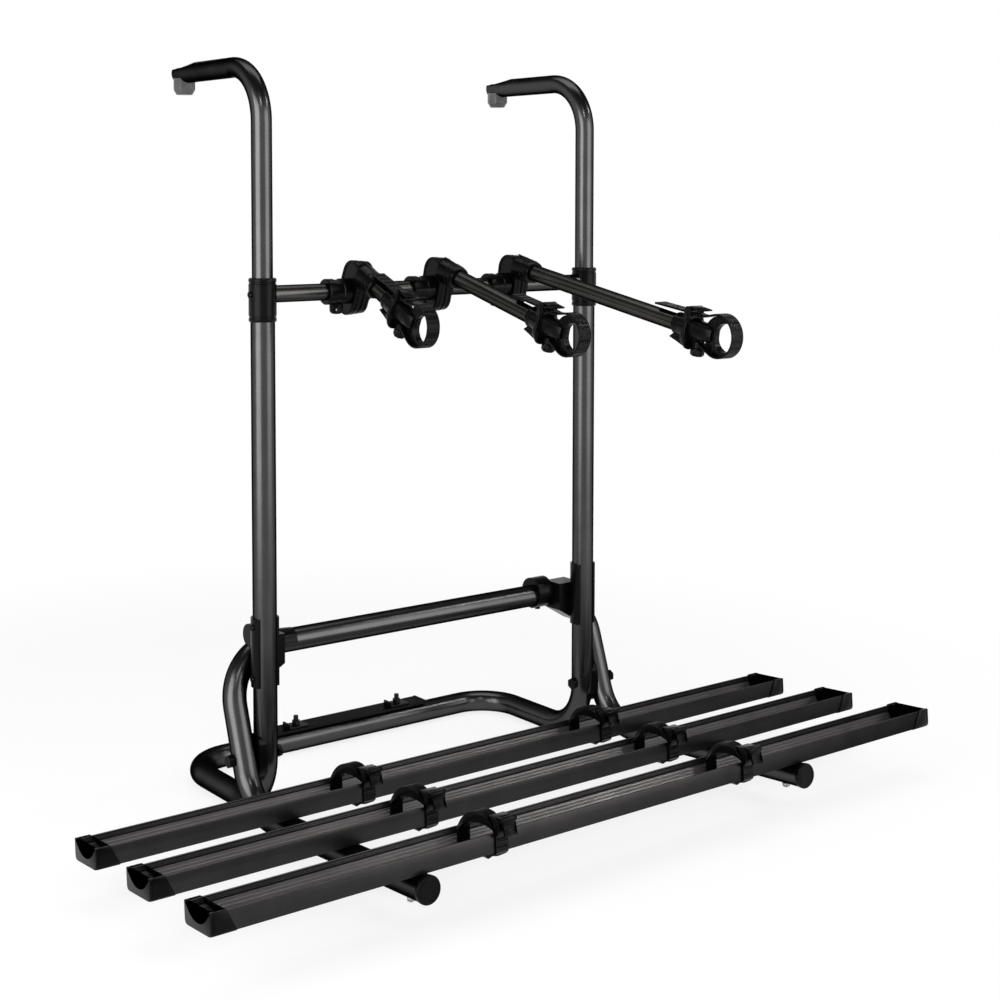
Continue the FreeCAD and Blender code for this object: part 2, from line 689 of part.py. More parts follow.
# fold pivots: shouldered bolts, their nuts, the bushes in the arms and the spacers on the uprights
bushes = []
pivots = []
spacers = []
upright_outside = bent_bar("upright_outside", frame_points, frame_bends, size("dim.frame_tube"))
bush_in = "(dim.arm_x - dim.platform_tube / 2)"
bush_out = "(dim.arm_x + dim.platform_tube / 2)"
head_in = f"({UPRIGHT_X} - dim.frame_tube / 2)"
for side_name, side in SIDES:
    bush = side_bar(f"bush_blank_{side_name}", "dim.pivot_bush / 2", bush_in, bush_out, "0",
                    "dim.pivot_height", side)
    bore = side_bar(f"bush_bore_{side_name}", "dim.pivot_bolt / 2 + dim.running_gap", bush_in, bush_out, "0",
                    "dim.pivot_height", side)
    bushes.append(cut(f"bush_{side_name}", bush, bore))
    nut_in = f"({bush_out} + dim.body_gap)"
    nut_out = f"({nut_in} + dim.pivot_bolt * 0.8)"
    shank = side_bar(f"pivot_shank_{side_name}", "dim.pivot_bolt / 2", head_in, nut_out, "0",
                     "dim.pivot_height", side)
    head_start = f"-{head_in}" if side < 0 else f"{head_in} - dim.pivot_bolt * 0.64"
    head = hexagon(f"pivot_head_{side_name}", "dim.pivot_bolt * 0.95", "dim.pivot_bolt * 0.64", head_start, "0",
                   "dim.pivot_height", "X")
    nut_start = f"-{nut_out}" if side < 0 else nut_in
    nut = hexagon(f"pivot_nut_blank_{side_name}", "dim.pivot_bolt * 0.95", "dim.pivot_bolt * 0.8", nut_start, "0",
                  "dim.pivot_height", "X")
    nut_hole = side_bar(f"pivot_nut_hole_{side_name}", "dim.pivot_bolt / 2", nut_in, nut_out, "0",
                        "dim.pivot_height", side)
    pivots.append(fuse(f"pivot_bolt_{side_name}", shank, head))
    pivots.append(cut(f"pivot_nut_{side_name}", nut, nut_hole))
    middle = side_box(f"spacer_middle_{side_name}", f"{UPRIGHT_X} + dim.frame_tube / 6", SPACER_FACE,
                      "-dim.spacer_width / 2", "dim.spacer_width",
                      "dim.pivot_height - dim.spacer_height / 2 + dim.spacer_width / 2",
                      "dim.spacer_height - dim.spacer_width", side)
    ends = [
        side_bar(f"spacer_{level_name}_{side_name}", "dim.spacer_width / 2",
                 f"{UPRIGHT_X} + dim.frame_tube / 6", SPACER_FACE, "0",
                 f"dim.pivot_height + {level} * (dim.spacer_height - dim.spacer_width) / 2", side)
        for level_name, level in (("low", -1), ("high", 1))
    ]
    bolt_hole = side_bar(f"spacer_hole_{side_name}", "dim.pivot_bolt / 2 + dim.pivot_hole_gap", UPRIGHT_X,
                         bush_out, "0", "dim.pivot_height", side)
    spacers.append(cut(f"spacer_{side_name}", fuse(f"spacer_blank_{side_name}", middle, *ends), upright_outside,
                       bolt_hole))
piece("pivot_bushes", group("bush_set", *bushes))
piece("pivot_bolts", group("pivot_bolt_set", *pivots))
piece("pivot_spacers", group("spacer_set", *spacers))

# end caps of the arms: a rimmed disc with a plug
end_caps = []
for side_name, side in SIDES:
    x = sided("dim.arm_x", side)
    plug = cylinder(f"end_plug_{side_name}", "dim.platform_tube / 2 - dim.platform_wall - dim.rail_cap_fit",
                    "dim.end_cap_plug", x, "-dim.arm_length", "0", "Y")
    rim = cylinder(f"end_rim_{side_name}", "dim.end_cap_width / 2", "dim.end_cap_rim", x,
                   "-dim.arm_length - dim.end_cap_rim", "0", "Y")
    end_caps.append(fuse(f"end_cap_{side_name}", plug, rim))
piece("platform_end_caps", group("end_cap_set", *end_caps), y="dim.knee_y", z="dim.knee_z", lean=LEAN)


def seat_y(along):
    """y of a rail's seat, measured along the leaning arm"""
    return f"(dim.knee_y - {along} * cos(dim.platform_tilt) + {RAIL_SEAT} * sin(dim.platform_tilt))"


def seat_z(along):
    """z of a rail's seat, measured along the leaning arm"""
    return f"(dim.knee_z + {along} * sin(dim.platform_tilt) + {RAIL_SEAT} * cos(dim.platform_tilt))"


# wheel rails: a ribbed channel, drawn across the rail and run along X, and given as its floor and its
# two side walls, face to face
inner = "(dim.rail_width / 2 - dim.rail_wall)"
bead = f"({inner} - dim.rail_bead)"
rib_places = [-2, -1, 0, 1, 2]
rail_outline = [
    ("-dim.rail_width / 2", "0"),
    ("dim.rail_width / 2", "0"),
    ("dim.rail_width / 2", "dim.rail_height"),
    (bead, "dim.rail_height"),
    (bead, "dim.rail_height - dim.rail_bead"),
    (inner, "dim.rail_height - 2 * dim.rail_bead"),
    (inner, "dim.rail_floor"),
]
for place in reversed(rib_places):
    middle = f"{place} * {inner} / 3"
    rail_outline += [
        (f"({middle} + dim.rail_rib_width / 2)", "dim.rail_floor"),
        (f"({middle} + dim.rail_rib_width / 2)", RAIL_TREAD),
        (f"({middle} - dim.rail_rib_width / 2)", RAIL_TREAD),
        (f"({middle} - dim.rail_rib_width / 2)", "dim.rail_floor"),
    ]
rail_outline += [
    (f"-{inner}", "dim.rail_floor"),
    (f"-{inner}", "dim.rail_height - 2 * dim.rail_bead"),
    (f"-{bead}", "dim.rail_height - dim.rail_bead"),
    (f"-{bead}", "dim.rail_height"),
    ("-dim.rail_width / 2", "dim.rail_height"),
]
for rail_name, along in RAILS:
    rail_body = doc.addObject("PartDesign::Body", f"rail_body_{rail_name}")
    rail_sketch = rail_body.newObject("Sketcher::SketchObject", f"rail_outline_{rail_name}")
    side_plane = [item for item in rail_body.Origin.OriginFeatures if item.Role == "YZ_Plane"][0]
    rail_sketch.AttachmentSupport = [(side_plane, "")]
    rail_sketch.MapMode = "FlatFace"
    outline(rail_sketch, rail_outline)
    rail_pad = rail_body.newObject("PartDesign::Pad", f"rail_pad_{rail_name}")
    rail_pad.Profile = rail_sketch
    rail_pad.Midplane = True
    bind(rail_pad, Length="dim.rail_length")
    rail_holes = [
        cylinder(f"rail_hole_{rail_name}_{side_name}", "dim.rail_bolt / 2 + dim.pivot_hole_gap",
                 "dim.rail_height", sided("dim.arm_x", side), "0", "-dim.rail_floor")
        for side_name, side in SIDES
    ]
    rail_drilled = cut(f"rail_drilled_{rail_name}", rail_body, *rail_holes)
    rail_strips = []
    for strip_name, strip_y, strip_z in (("floor", "-dim.rail_width", f"{RAIL_TREAD} - dim.rail_height"),
                                         ("rear_wall", "0", RAIL_TREAD),
                                         ("front_wall", "-2 * dim.rail_width", RAIL_TREAD)):
        zone = box(f"rail_{strip_name}_zone_{rail_name}", "2 * dim.rail_length", "2 * dim.rail_width",
                   "dim.rail_height", "-dim.rail_length", strip_y, strip_z)
        rail_strips.append(common(f"rail_{strip_name}_{rail_name}", rail_drilled, zone))
    piece(f"rail_{rail_name}", group(f"rail_set_{rail_name}", *rail_strips),
          y=seat_y(along), z=seat_z(along), lean=LEAN)

# rail end caps: shells over the rail's ends, each with a round-bottomed notch in its end face
for side_name, side in SIDES:
    rail_caps = []
    for rail_name, along in RAILS:
        name = f"rail_cap_{rail_name}_{side_name}"
        end = "(dim.rail_length / 2)"
        half = "(dim.rail_width / 2 + dim.rail_cap_fit)"
        shell = side_box(name + "_shell", f"{end} - dim.rail_cap_length", f"{end} + dim.rail_cap_end",
                         f"-{half} - dim.rail_cap_wall", f"2 * ({half} + dim.rail_cap_wall)",
                         "-dim.rail_cap_fit - dim.rail_cap_wall",
                         "dim.rail_height + dim.rail_cap_fit + 2 * dim.rail_cap_wall", side)
        cavity = side_box(name + "_cavity", f"{end} - 2 * dim.rail_cap_length", f"{end} + dim.rail_cap_fit",
                          f"-{half}", f"2 * {half}", "-dim.rail_cap_fit", "2 * dim.rail_height", side)
        notch_z = "(dim.rail_cap_sill + dim.rail_cap_notch / 2)"
        notch = side_bar(name + "_notch", "dim.rail_cap_notch / 2", end, f"{end} + 2 * dim.rail_cap_end", "0",
                         notch_z, side)
        cap = cut(name, shell, cavity, notch)
        cap.Placement = Placement(Vector(), Rotation(Vector(1, 0, 0), 1))
        cap.setExpression("Placement.Rotation.Angle", LEAN)
        spot(cap, "0", seat_y(along), seat_z(along))
        rail_caps.append(cap)
    piece(f"rail_caps_{side_name}", group(f"rail_cap_set_{side_name}", *rail_caps))

# wheel straps: a band over and under the front wall, a buckle on its front and a ratchet lever
STRAPS = (("left", "dim.strap_left_x"), ("right", "dim.strap_right_x"))
band_back_y = size("dim.strap_inner_y")
band_front_y = -size("dim.rail_width / 2 + dim.body_gap")
arch_top = size("dim.rail_height")
arch_middle = (band_back_y + band_front_y) / 2
arch_reach = (band_back_y - band_front_y) / 2
under = size("dim.body_gap")
band_front = "(dim.rail_width / 2 + dim.body_gap + dim.strap_thick)"
arch_radius = f"((dim.strap_inner_y + {band_front} + dim.strap_thick) / 2)"
arch_y = f"((dim.strap_inner_y + dim.strap_thick - {band_front}) / 2)"
arch_z = "(dim.rail_height)"
buckle_face = f"(-{band_front} - dim.buckle_deep)"
barrel_y = f"({buckle_face} - dim.hinge_barrel / 2 - dim.body_gap)"
barrel_z = "(dim.buckle_high - dim.hinge_barrel / 4)"
ear_thick = "((dim.buckle_width - dim.strap_width) / 2)"
buckles = []
for rail_name, along in RAILS:
    for strap_name, strap_x in STRAPS:
        name = f"wheel_strap_{rail_name}_{strap_name}"
        front_x = size(strap_x)
        back_x = front_x - size("dim.strap_skew")
        stations = [Vector(back_x, band_back_y, size(f"{RAIL_TREAD} + dim.body_gap"))]
        for step in range(13):
            turn = math.pi * step / 12
            stations.append(Vector(back_x + (front_x - back_x) * step / 12,
                                   arch_middle + arch_reach * math.cos(turn),
                                   arch_top + arch_reach * math.sin(turn)))
        stations.append(Vector(front_x, band_front_y, -under))
        stations.append(Vector(front_x, band_front_y + size("dim.strap_under"), -under))
        stations.reverse()
        strap = band(name + "_band", stations, size("dim.strap_width"), size("dim.strap_thick"))
        piece(name, strap, y=seat_y(along), z=seat_z(along), lean=LEAN)

        buckle = f"buckle_{rail_name}_{strap_name}"
        wide = "dim.buckle_width"
        left = f"{strap_x} - dim.buckle_width / 2"
        block = box(buckle + "_block", wide, f"dim.buckle_deep + {arch_radius}",
                    "dim.buckle_high - dim.buckle_low", left, buckle_face, "dim.buckle_low")
        clear = cylinder(buckle + "_clear", f"{arch_radius} + dim.body_gap", wide, left, arch_y, arch_z, "X")
        clear_low = box(buckle + "_clear_low", wide, f"2 * {arch_radius}", "dim.buckle_high", left,
                        f"-{band_front} - dim.body_gap", f"{arch_z} - dim.buckle_high")
        shell = cut(buckle + "_shell", block, clear, clear_low)
        ears = []
        for side_name, ear_x in (("near", left), ("far", f"{left} + {wide} - {ear_thick} + dim.body_gap")):
            ears.append(box(f"{buckle}_ear_{side_name}", f"{ear_thick} - dim.body_gap",
                            "dim.hinge_barrel + dim.body_gap", "dim.hinge_barrel", ear_x,
                            f"{barrel_y} - dim.hinge_barrel / 2", f"{barrel_z} - dim.hinge_barrel / 2"))
        pin = cylinder(buckle + "_pin", "dim.hinge_pin / 2", wide, left, barrel_y, barrel_z, "X")
        body = fuse(buckle, shell, *ears, pin)
        body.Placement = Placement(Vector(), Rotation(Vector(1, 0, 0), 1))
        body.setExpression("Placement.Rotation.Angle", LEAN)
        spot(body, "0", seat_y(along), seat_z(along))
        buckles.append(body)

        lever = f"buckle_lever_{rail_name}_{strap_name}"
        wide = "dim.strap_width"
        left = f"{strap_x} - dim.strap_width / 2"
        barrel = cylinder(lever + "_barrel", "dim.hinge_barrel / 2", wide, left, barrel_y, barrel_z, "X")
        blade = box(lever + "_blade", wide, "dim.buckle_lever_thick", "dim.buckle_lever_length", left,
                    f"{barrel_y} - dim.hinge_barrel / 2", f"{barrel_z} - dim.buckle_lever_length")
        bore = cylinder(lever + "_bore", "dim.hinge_pin / 2 + dim.running_gap", wide, left, barrel_y, barrel_z,
                        "X")
        piece(lever, cut(lever + "_cut", fuse(lever + "_blank", barrel, blade), bore), y=seat_y(along),
              z=seat_z(along), lean=LEAN)
piece("strap_buckles", group("buckle_set", *buckles))

# lower brackets: a clip round each upright with a cradle that the platform's crossbar rests in
low_bar_room = bent_bar("low_bar_room", platform_points, platform_bends,
                        size("dim.platform_tube + 2 * dim.cradle_play"))
clip_outer = "(dim.frame_tube / 2 + dim.clip_thick)"
for side_name, side in SIDES:
    x = sided(UPRIGHT_X, side)
    ring = cylinder(f"clip_ring_{side_name}", clip_outer, "dim.clip_height", x, "0", "dim.clip_low")
    front = box(f"clip_front_{side_name}", f"4 * {clip_outer}", f"2 * {clip_outer}", "2 * dim.clip_height",
                f"{x} - 2 * {clip_outer}", f"-dim.clip_front - 2 * {clip_outer}",
                "dim.clip_low - dim.clip_height / 2")
    block_in = sided("dim.cradle_inner", side)
    corners = [
        (x, "dim.low_bar_z + dim.cradle_rise"),
        (block_in, "dim.low_bar_z + dim.cradle_rise"),
        (block_in, "dim.low_bar_z - dim.cradle_drop"),
        (x, "dim.low_bar_z - dim.gusset_drop"),
    ]
    cradle = prism(f"cradle_{side_name}", corners, "dim.low_bar_y - dim.clip_front", "0", "dim.low_bar_y", "0",
                   "Y")
    parts = [ring, cradle]
    if side < 0:
        hub_out = f"({UPRIGHT_X} + dim.hub_length)"
        parts.append(side_bar("hub_left", "dim.hub_width / 2", UPRIGHT_X, hub_out, "dim.hub_y", "dim.hub_z", side))
    bracket = cut(f"bracket_{side_name}", fuse(f"bracket_blank_{side_name}", *parts), front, upright_outside,
                  low_bar_room, *screw_drills[side_name][1:])
    piece(f"latch_bracket_{side_name}", bracket)

# catches on the lower crossbar: a closed claw on the right, a tapered half shell on the left
claw_out = "(dim.catch_inner + dim.catch_length)"
claw_top = side_bar("claw_top", "dim.catch_outer / 2", "dim.catch_inner", claw_out, "dim.low_bar_y",
                    "dim.low_bar_z + dim.catch_rise", 1)
claw_low = side_bar("claw_low", "dim.platform_tube / 2 + dim.clip_thick", "dim.catch_inner", claw_out,
                    "dim.low_bar_y", "dim.low_bar_z", 1)
claw_bolt = cylinder("claw_bolt", "dim.screw_head / 2", "dim.platform_tube / 2 + dim.clip_thick * 2",
                     "dim.catch_inner + dim.catch_length / 2", "dim.low_bar_y",
                     "dim.low_bar_z - dim.platform_tube / 2 - dim.clip_thick * 2")
claw_hole = side_bar("claw_hole", "dim.platform_tube / 2", "dim.catch_inner - 1", f"{claw_out} + 1",
                     "dim.low_bar_y", "dim.low_bar_z", 1)
tongue = cone("tongue_blank", "dim.catch_outer / 2 - dim.clip_thick", "dim.platform_tube / 2 + 1",
              "dim.catch_tongue", f"-{claw_out}", "dim.low_bar_y", "dim.low_bar_z", "X")
tongue_hole = side_bar("tongue_hole", "dim.platform_tube / 2", "dim.catch_inner - dim.catch_tongue",
                       f"{claw_out} + 1", "dim.low_bar_y", "dim.low_bar_z", -1)
tongue_low = box("tongue_low", "3 * dim.catch_tongue", "2 * dim.catch_outer", "dim.catch_outer",
                 f"-{claw_out} - dim.catch_tongue", "dim.low_bar_y - dim.catch_outer",
                 "dim.low_bar_z - dim.catch_outer")
catches = [
    cut("claw", fuse("claw_blank", claw_top, claw_low, claw_bolt), claw_hole),
    cut("tongue", tongue, tongue_hole, tongue_low),
]
piece("crossbar_catches", group("catch_set", *catches))


def stadium(name, x, length, radius):
    """upright block along X with round ends above and below the crossbar"""
    return [
        cylinder(name + "_low", radius, length, x, "0", "-dim.knuckle_drop", "X"),
        cylinder(name + "_high", radius, length, x, "0", "dim.knuckle_lift", "X"),
        box(name + "_waist", length, f"2 * {radius}", "dim.knuckle_drop + dim.knuckle_lift", x, f"-{radius}",
            "-dim.knuckle_drop"),
    ]


# bike holders: alike but for the length and lean of their arms
collar_bore = "(dim.bar_tube / 2 + dim.body_gap)"
collar_outer = f"({collar_bore} + dim.collar_wall)"
ring_inner = "(dim.ring_outer / 2 - dim.band_thick)"
knuckle_start = "(-dim.knuckle_length / 2)"
for number in (1, 2, 3):
    holder = f"holder_{number}"
    arm_end = f"(dim.{holder}_arm)"
    place = {"x": f"dim.{holder}_x", "z": "dim.bar_height", "lean": f"dim.{holder}_lean"}
    rise = "dim.arm_rise"

    # collar: slides on the crossbar, with a pierced lug under its left flange
    name = holder + "_collar"
    collar_end = "(dim.knuckle_length / 2 + dim.body_gap + dim.collar_rim)"
    collar_tube = cylinder(name + "_tube", collar_outer, f"dim.collar_left + {collar_end}",
                           "-dim.collar_left", "0", "0", "X")
    flange = cylinder(name + "_flange", "dim.collar_flange / 2",
                      "dim.collar_left - dim.knuckle_length / 2 - dim.body_gap", "-dim.collar_left", "0", "0",
                      "X")
    rim = cylinder(name + "_rim", "dim.collar_flange / 2", "dim.collar_rim",
                   "dim.knuckle_length / 2 + dim.body_gap", "0", "0", "X")
    lug = box(name + "_lug", "dim.lug_length", "dim.lug_thick", "dim.lug_drop",
              "-dim.collar_left + dim.lug_length / 2", "-dim.lug_thick / 2", "-dim.lug_drop")
    lug_hole = cylinder(name + "_lug_hole", "dim.collar_wall", "2 * dim.lug_thick",
                        "-dim.collar_left + dim.lug_length", "-dim.lug_thick",
                        "-dim.lug_drop + 2 * dim.collar_wall", "Y")
    bore = cylinder(name + "_bore", collar_bore, f"dim.collar_left + {collar_end}", "-dim.collar_left", "0",
                    "0", "X")
    piece(name, cut(name + "_cut", fuse(name + "_blank", collar_tube, flange, rim, lug), bore, lug_hole),
          x=f"dim.{holder}_x", z="dim.bar_height")

    # knuckle: turns on the collar and carries the arm in a neck above the crossbar
    name = holder + "_knuckle"
    cheek_long = "((dim.knuckle_length - dim.knuckle_groove) / 2)"
    middle = stadium(name + "_core", knuckle_start, "dim.knuckle_length",
                     "(dim.knuckle_width / 2 - dim.knuckle_step)")
    cheek = stadium(name + "_cheek", knuckle_start, cheek_long, "(dim.knuckle_width / 2)")
    far_cheek = stadium(name + "_far_cheek", "dim.knuckle_groove / 2", cheek_long, "(dim.knuckle_width / 2)")
    neck = cone(name + "_neck", "dim.neck_mouth / 2", "dim.neck_width / 2", "dim.neck_reach", "0",
                "-dim.neck_reach", rise, "Y")
    turn_bore = cylinder(name + "_bore", f"{collar_outer} + dim.body_gap", "dim.knuckle_length", knuckle_start,
                         "0", "0", "X")
    neck_trims = [
        side_bar(f"{name}_neck_trim_{side_name}", "dim.collar_flange / 2 + dim.body_gap",
                 "dim.knuckle_length / 2", "2 * dim.knuckle_length", "0", "0", side)
        for side_name, side in SIDES
    ]
    arm_bore = cylinder(name + "_arm_bore", "dim.arm_tube / 2", "dim.neck_reach", "0",
                        "-dim.neck_reach - dim.arm_inset", rise, "Y")
    knuckle = cut(name + "_cut", fuse(name + "_blank", *middle, *cheek, *far_cheek, neck), turn_bore,
                  *neck_trims, arm_bore)
    piece(name, knuckle, **place)

    # arm tube, from inside the knuckle's neck to inside the head's socket
    name = holder + "_tube"
    tube_long = f"({arm_end} + dim.socket_length - dim.band_thick - dim.arm_inset)"
    tube_far = f"(-{arm_end} - dim.socket_length + dim.band_thick)"
    outside = cylinder(name + "_outside", "dim.arm_tube / 2", tube_long, "0", tube_far, rise, "Y")
    inside = cylinder(name + "_inside", "dim.arm_tube / 2 - dim.arm_wall", tube_long, "0", tube_far, rise, "Y")
    piece(name, cut(name + "_cut", outside, inside), **place)

    # head: socket, flange, core, and a hollow claw for the bicycle's frame
    name = holder + "_head"
    shift = f"-{arm_end}"
    flange_z = f"{rise} - dim.flange_drop"
    socket = cylinder(name + "_socket", "dim.socket_width / 2", "dim.socket_length", "0",
                      f"{shift} - dim.socket_length", rise, "Y")
    funnel = cone(name + "_funnel", "dim.flange_height / 2", "dim.socket_width / 2",
                  "dim.flange_place - dim.socket_length / 3", "0", f"{shift} - dim.flange_place", flange_z, "Y")
    flange = cylinder(name + "_flange", "dim.flange_height / 2", "dim.flange_thick", "0",
                      f"{shift} - dim.flange_place - dim.flange_thick", flange_z, "Y")
    flange_sides = box(name + "_flange_sides", "dim.flange_width", "dim.flange_place + dim.flange_thick",
                       "2 * dim.flange_height", "-dim.flange_width / 2",
                       f"{shift} - dim.flange_place - dim.flange_thick", f"{flange_z} - dim.flange_height")
    flange_trimmed = common(name + "_flange_trimmed", fuse(name + "_flange_blank", funnel, flange),
                            flange_sides)
    core = box(name + "_core", "dim.core_width", "dim.core_end - dim.flange_place", "dim.core_height",
               "-dim.core_width / 2", f"{shift} - dim.core_end", f"{rise} - dim.core_height / 2")
    claw_block = box(name + "_claw_block", "dim.claw_width", "dim.claw_end - dim.claw_start", "dim.ring_outer",
                     "-dim.claw_width / 2", f"{shift} - dim.claw_end",
                     f"{rise} + dim.ring_lift - dim.ring_outer / 2")
    claw_round = cylinder(name + "_claw_round", f"{ring_inner} - dim.body_gap", "dim.claw_width",
                          "-dim.claw_width / 2", f"{shift} - dim.ring_place", f"{rise} + dim.ring_lift", "X")
    claw = common(name + "_claw", claw_block, claw_round)
    hollow = cylinder(name + "_hollow", "dim.claw_hollow / 2", "2 * dim.claw_width", "-dim.claw_width",
                      f"{shift} - dim.hollow_place", f"{rise} + dim.ring_lift", "X")
    lever_y = f"({shift} - dim.lever_place)"
    lever_z = f"({rise} + dim.lever_rise)"
    ears = [
        box(f"{name}_ear_{ear_name}", "dim.band_thick", "2 * dim.hinge_barrel",
            "dim.lever_rise + dim.hinge_pin", ear_x, f"{lever_y} - dim.hinge_barrel", rise)
        for ear_name, ear_x in (("near", "-dim.band_width / 2 - dim.body_gap - dim.band_thick"),
                                ("far", "dim.band_width / 2 + dim.body_gap"))
    ]
    pin = cylinder(name + "_pin", "dim.hinge_pin / 2", "dim.band_width + 2 * dim.body_gap + dim.band_thick",
                   "-dim.band_width / 2 - dim.body_gap - dim.band_thick / 2", lever_y, lever_z, "X")
    boss = cylinder(name + "_boss", "dim.knob_width / 2 - 2", "dim.knob_drop", "0",
                    f"{shift} - dim.knob_place", f"{rise} - dim.knob_drop")
    spur = prism(name + "_spur",
                 [("dim.spur_back", "-dim.socket_width * 0.65"),
                  ("-dim.flange_place", "-dim.flange_drop - dim.flange_height / 2"),
                  ("-dim.flange_place", "0"),
                  ("0", "-dim.socket_width * 0.4")],
                 "dim.core_width / 2", "-dim.core_width / 4", shift, rise, "X")
    tube_room = cylinder(name + "_tube_room", "dim.arm_tube / 2", "dim.socket_length + dim.arm_tube", "0",
                         f"{tube_far}", rise, "Y")
    stem_bore = cylinder(name + "_stem_bore", "dim.knob_stem / 2 + dim.running_gap", "dim.knob_height", "0",
                         f"{shift} - dim.knob_place", f"{rise} - dim.knob_drop")
    head = cut(name + "_cut",
               fuse(name + "_blank", socket, flange_trimmed, core, claw, *ears, pin, boss, spur),
               hollow, tube_room, stem_bore)
    piece(name, head, **place)

    # band: from its free tail, under the lever, round the front of the claw and back under the core
    name = holder + "_band"
    end_y = -size(arm_end)
    ring_y = end_y - size("dim.ring_place")
    ring_z = size("dim.arm_rise + dim.ring_lift")
    radius = size(ring_inner)
    top_turn = math.radians(size("dim.band_top_turn"))
    low_turn = math.radians(size("dim.band_low_turn"))
    top_y = ring_y + radius * math.sin(top_turn)
    top_z = ring_z + radius * math.cos(top_turn)
    dip_y = end_y - size("dim.band_dip")
    dip_z = top_z - (dip_y - top_y) * math.tan(top_turn)
    low_y = ring_y + radius * math.sin(low_turn)
    low_z = ring_z - radius * math.cos(low_turn)
    low_end_y = end_y - size("dim.band_low_end")
    stations = [
        Vector(0, end_y + size("dim.band_tail"), size("dim.arm_rise + dim.band_tail_rise")),
        Vector(0, end_y - size("dim.lever_place - dim.hinge_barrel"),
               size("dim.arm_rise + dim.lever_rise - dim.hinge_barrel / 2 - dim.band_thick - 2 * dim.body_gap")),
        Vector(0, dip_y, dip_z),
    ]
    for step in range(19):
        turn = -top_turn + (math.pi + top_turn + low_turn) * step / 18
        stations.append(Vector(0, ring_y - radius * math.sin(turn), ring_z + radius * math.cos(turn)))
    stations.append(Vector(0, low_end_y, low_z + (low_end_y - low_y) * math.tan(low_turn)))
    stations.reverse()
    piece(name, band(name + "_loop", stations, size("dim.band_width"), size("dim.band_thick")), **place)

    # ratchet lever over the band, and the clamp knob under the head
    name = holder + "_lever"
    left = "-dim.band_width / 2"
    barrel = cylinder(name + "_barrel", "dim.hinge_barrel / 2", "dim.band_width", left, lever_y, lever_z, "X")
    blade = box(name + "_blade", "dim.band_width", "dim.lever_length", "dim.lever_thick", left,
                f"{lever_y} - dim.lever_length", f"{lever_z} + dim.hinge_barrel / 2 - dim.lever_thick")
    bore = cylinder(name + "_bore", "dim.hinge_pin / 2 + dim.running_gap", "dim.band_width", left, lever_y,
                    lever_z, "X")
    piece(name, cut(name + "_cut", fuse(name + "_blank", barrel, blade), bore), **place)

    name = holder + "_knob"
    knob_top = f"({rise} - dim.knob_drop - dim.body_gap)"
    grip = hexagon(name + "_grip", "dim.knob_width / 2", "dim.knob_height", "0", f"{shift} - dim.knob_place",
                   f"{knob_top} - dim.knob_height", sides=12)
    stem = cylinder(name + "_stem", "dim.knob_stem / 2", "dim.knob_height * 0.9", "0",
                    f"{shift} - dim.knob_place", knob_top)
    piece(name, fuse(name + "_turned", grip, stem), **place)

doc.recompute()
for item in doc.Objects:
    if "Invalid" in item.State or "Error" in item.State:
        raise RuntimeError(f"{item.Label} did not build: {item.State}")
for item in pieces:
    if item.Shape.isNull() or not item.Shape.isValid():
        raise RuntimeError(f"{item.Label} has no valid shape")

os.makedirs("parts", exist_ok=True)
for item in pieces:
    item.Shape.exportStep(f"parts/{item.Label}.step")
    print(item.Label, len(item.Shape.Solids), "solids", round(item.Shape.Volume / 1000, 2), "cm3")
print(len(pieces), "pieces")
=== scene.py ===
import json
import math

import bmesh
import bpy
import numpy as np
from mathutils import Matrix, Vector


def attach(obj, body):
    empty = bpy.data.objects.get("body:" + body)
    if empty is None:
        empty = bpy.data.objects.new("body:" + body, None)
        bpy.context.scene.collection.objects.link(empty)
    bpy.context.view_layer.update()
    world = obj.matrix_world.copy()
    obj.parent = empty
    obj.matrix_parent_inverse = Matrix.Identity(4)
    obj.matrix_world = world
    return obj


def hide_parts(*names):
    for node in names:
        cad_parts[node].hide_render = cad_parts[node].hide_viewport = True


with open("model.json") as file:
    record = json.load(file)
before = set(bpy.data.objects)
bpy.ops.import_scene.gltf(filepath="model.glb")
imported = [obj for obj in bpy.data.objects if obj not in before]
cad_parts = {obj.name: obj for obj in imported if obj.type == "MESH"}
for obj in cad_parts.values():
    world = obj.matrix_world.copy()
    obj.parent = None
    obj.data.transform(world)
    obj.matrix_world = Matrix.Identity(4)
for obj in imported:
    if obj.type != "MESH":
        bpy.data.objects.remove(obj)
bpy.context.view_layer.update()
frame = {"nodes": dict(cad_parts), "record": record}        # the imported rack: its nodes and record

wallDistance = 269.8     # millimetres from the uprights' axes back to the wall face
groundHeight = -17.5     # millimetres, the underside of the floor loop

# points and outlines; shapes are in millimetres, measured from the uprights' axes


def toFrame(points):
    # take the wall distance off y, then divide by a thousand
    return (np.asarray(points, float) - (0.0, wallDistance, 0.0)) / 1000


def leaning(points, degrees, y, z, x=0.0):
    # turn about X, then set down: y' = y cos - z sin, z' = y sin + z cos
    turn = math.radians(degrees)
    points = np.asarray(points, float)
    out = points.copy()
    out[..., 0] += x
    out[..., 1] = points[..., 1] * math.cos(turn) - points[..., 2] * math.sin(turn) + y
    out[..., 2] = points[..., 1] * math.sin(turn) + points[..., 2] * math.cos(turn) + z
    return out


def unit(vectors):
    # each vector over its own length
    vectors = np.asarray(vectors, float)
    return vectors / np.maximum(np.linalg.norm(vectors, axis=-1, keepdims=True), 1e-12)


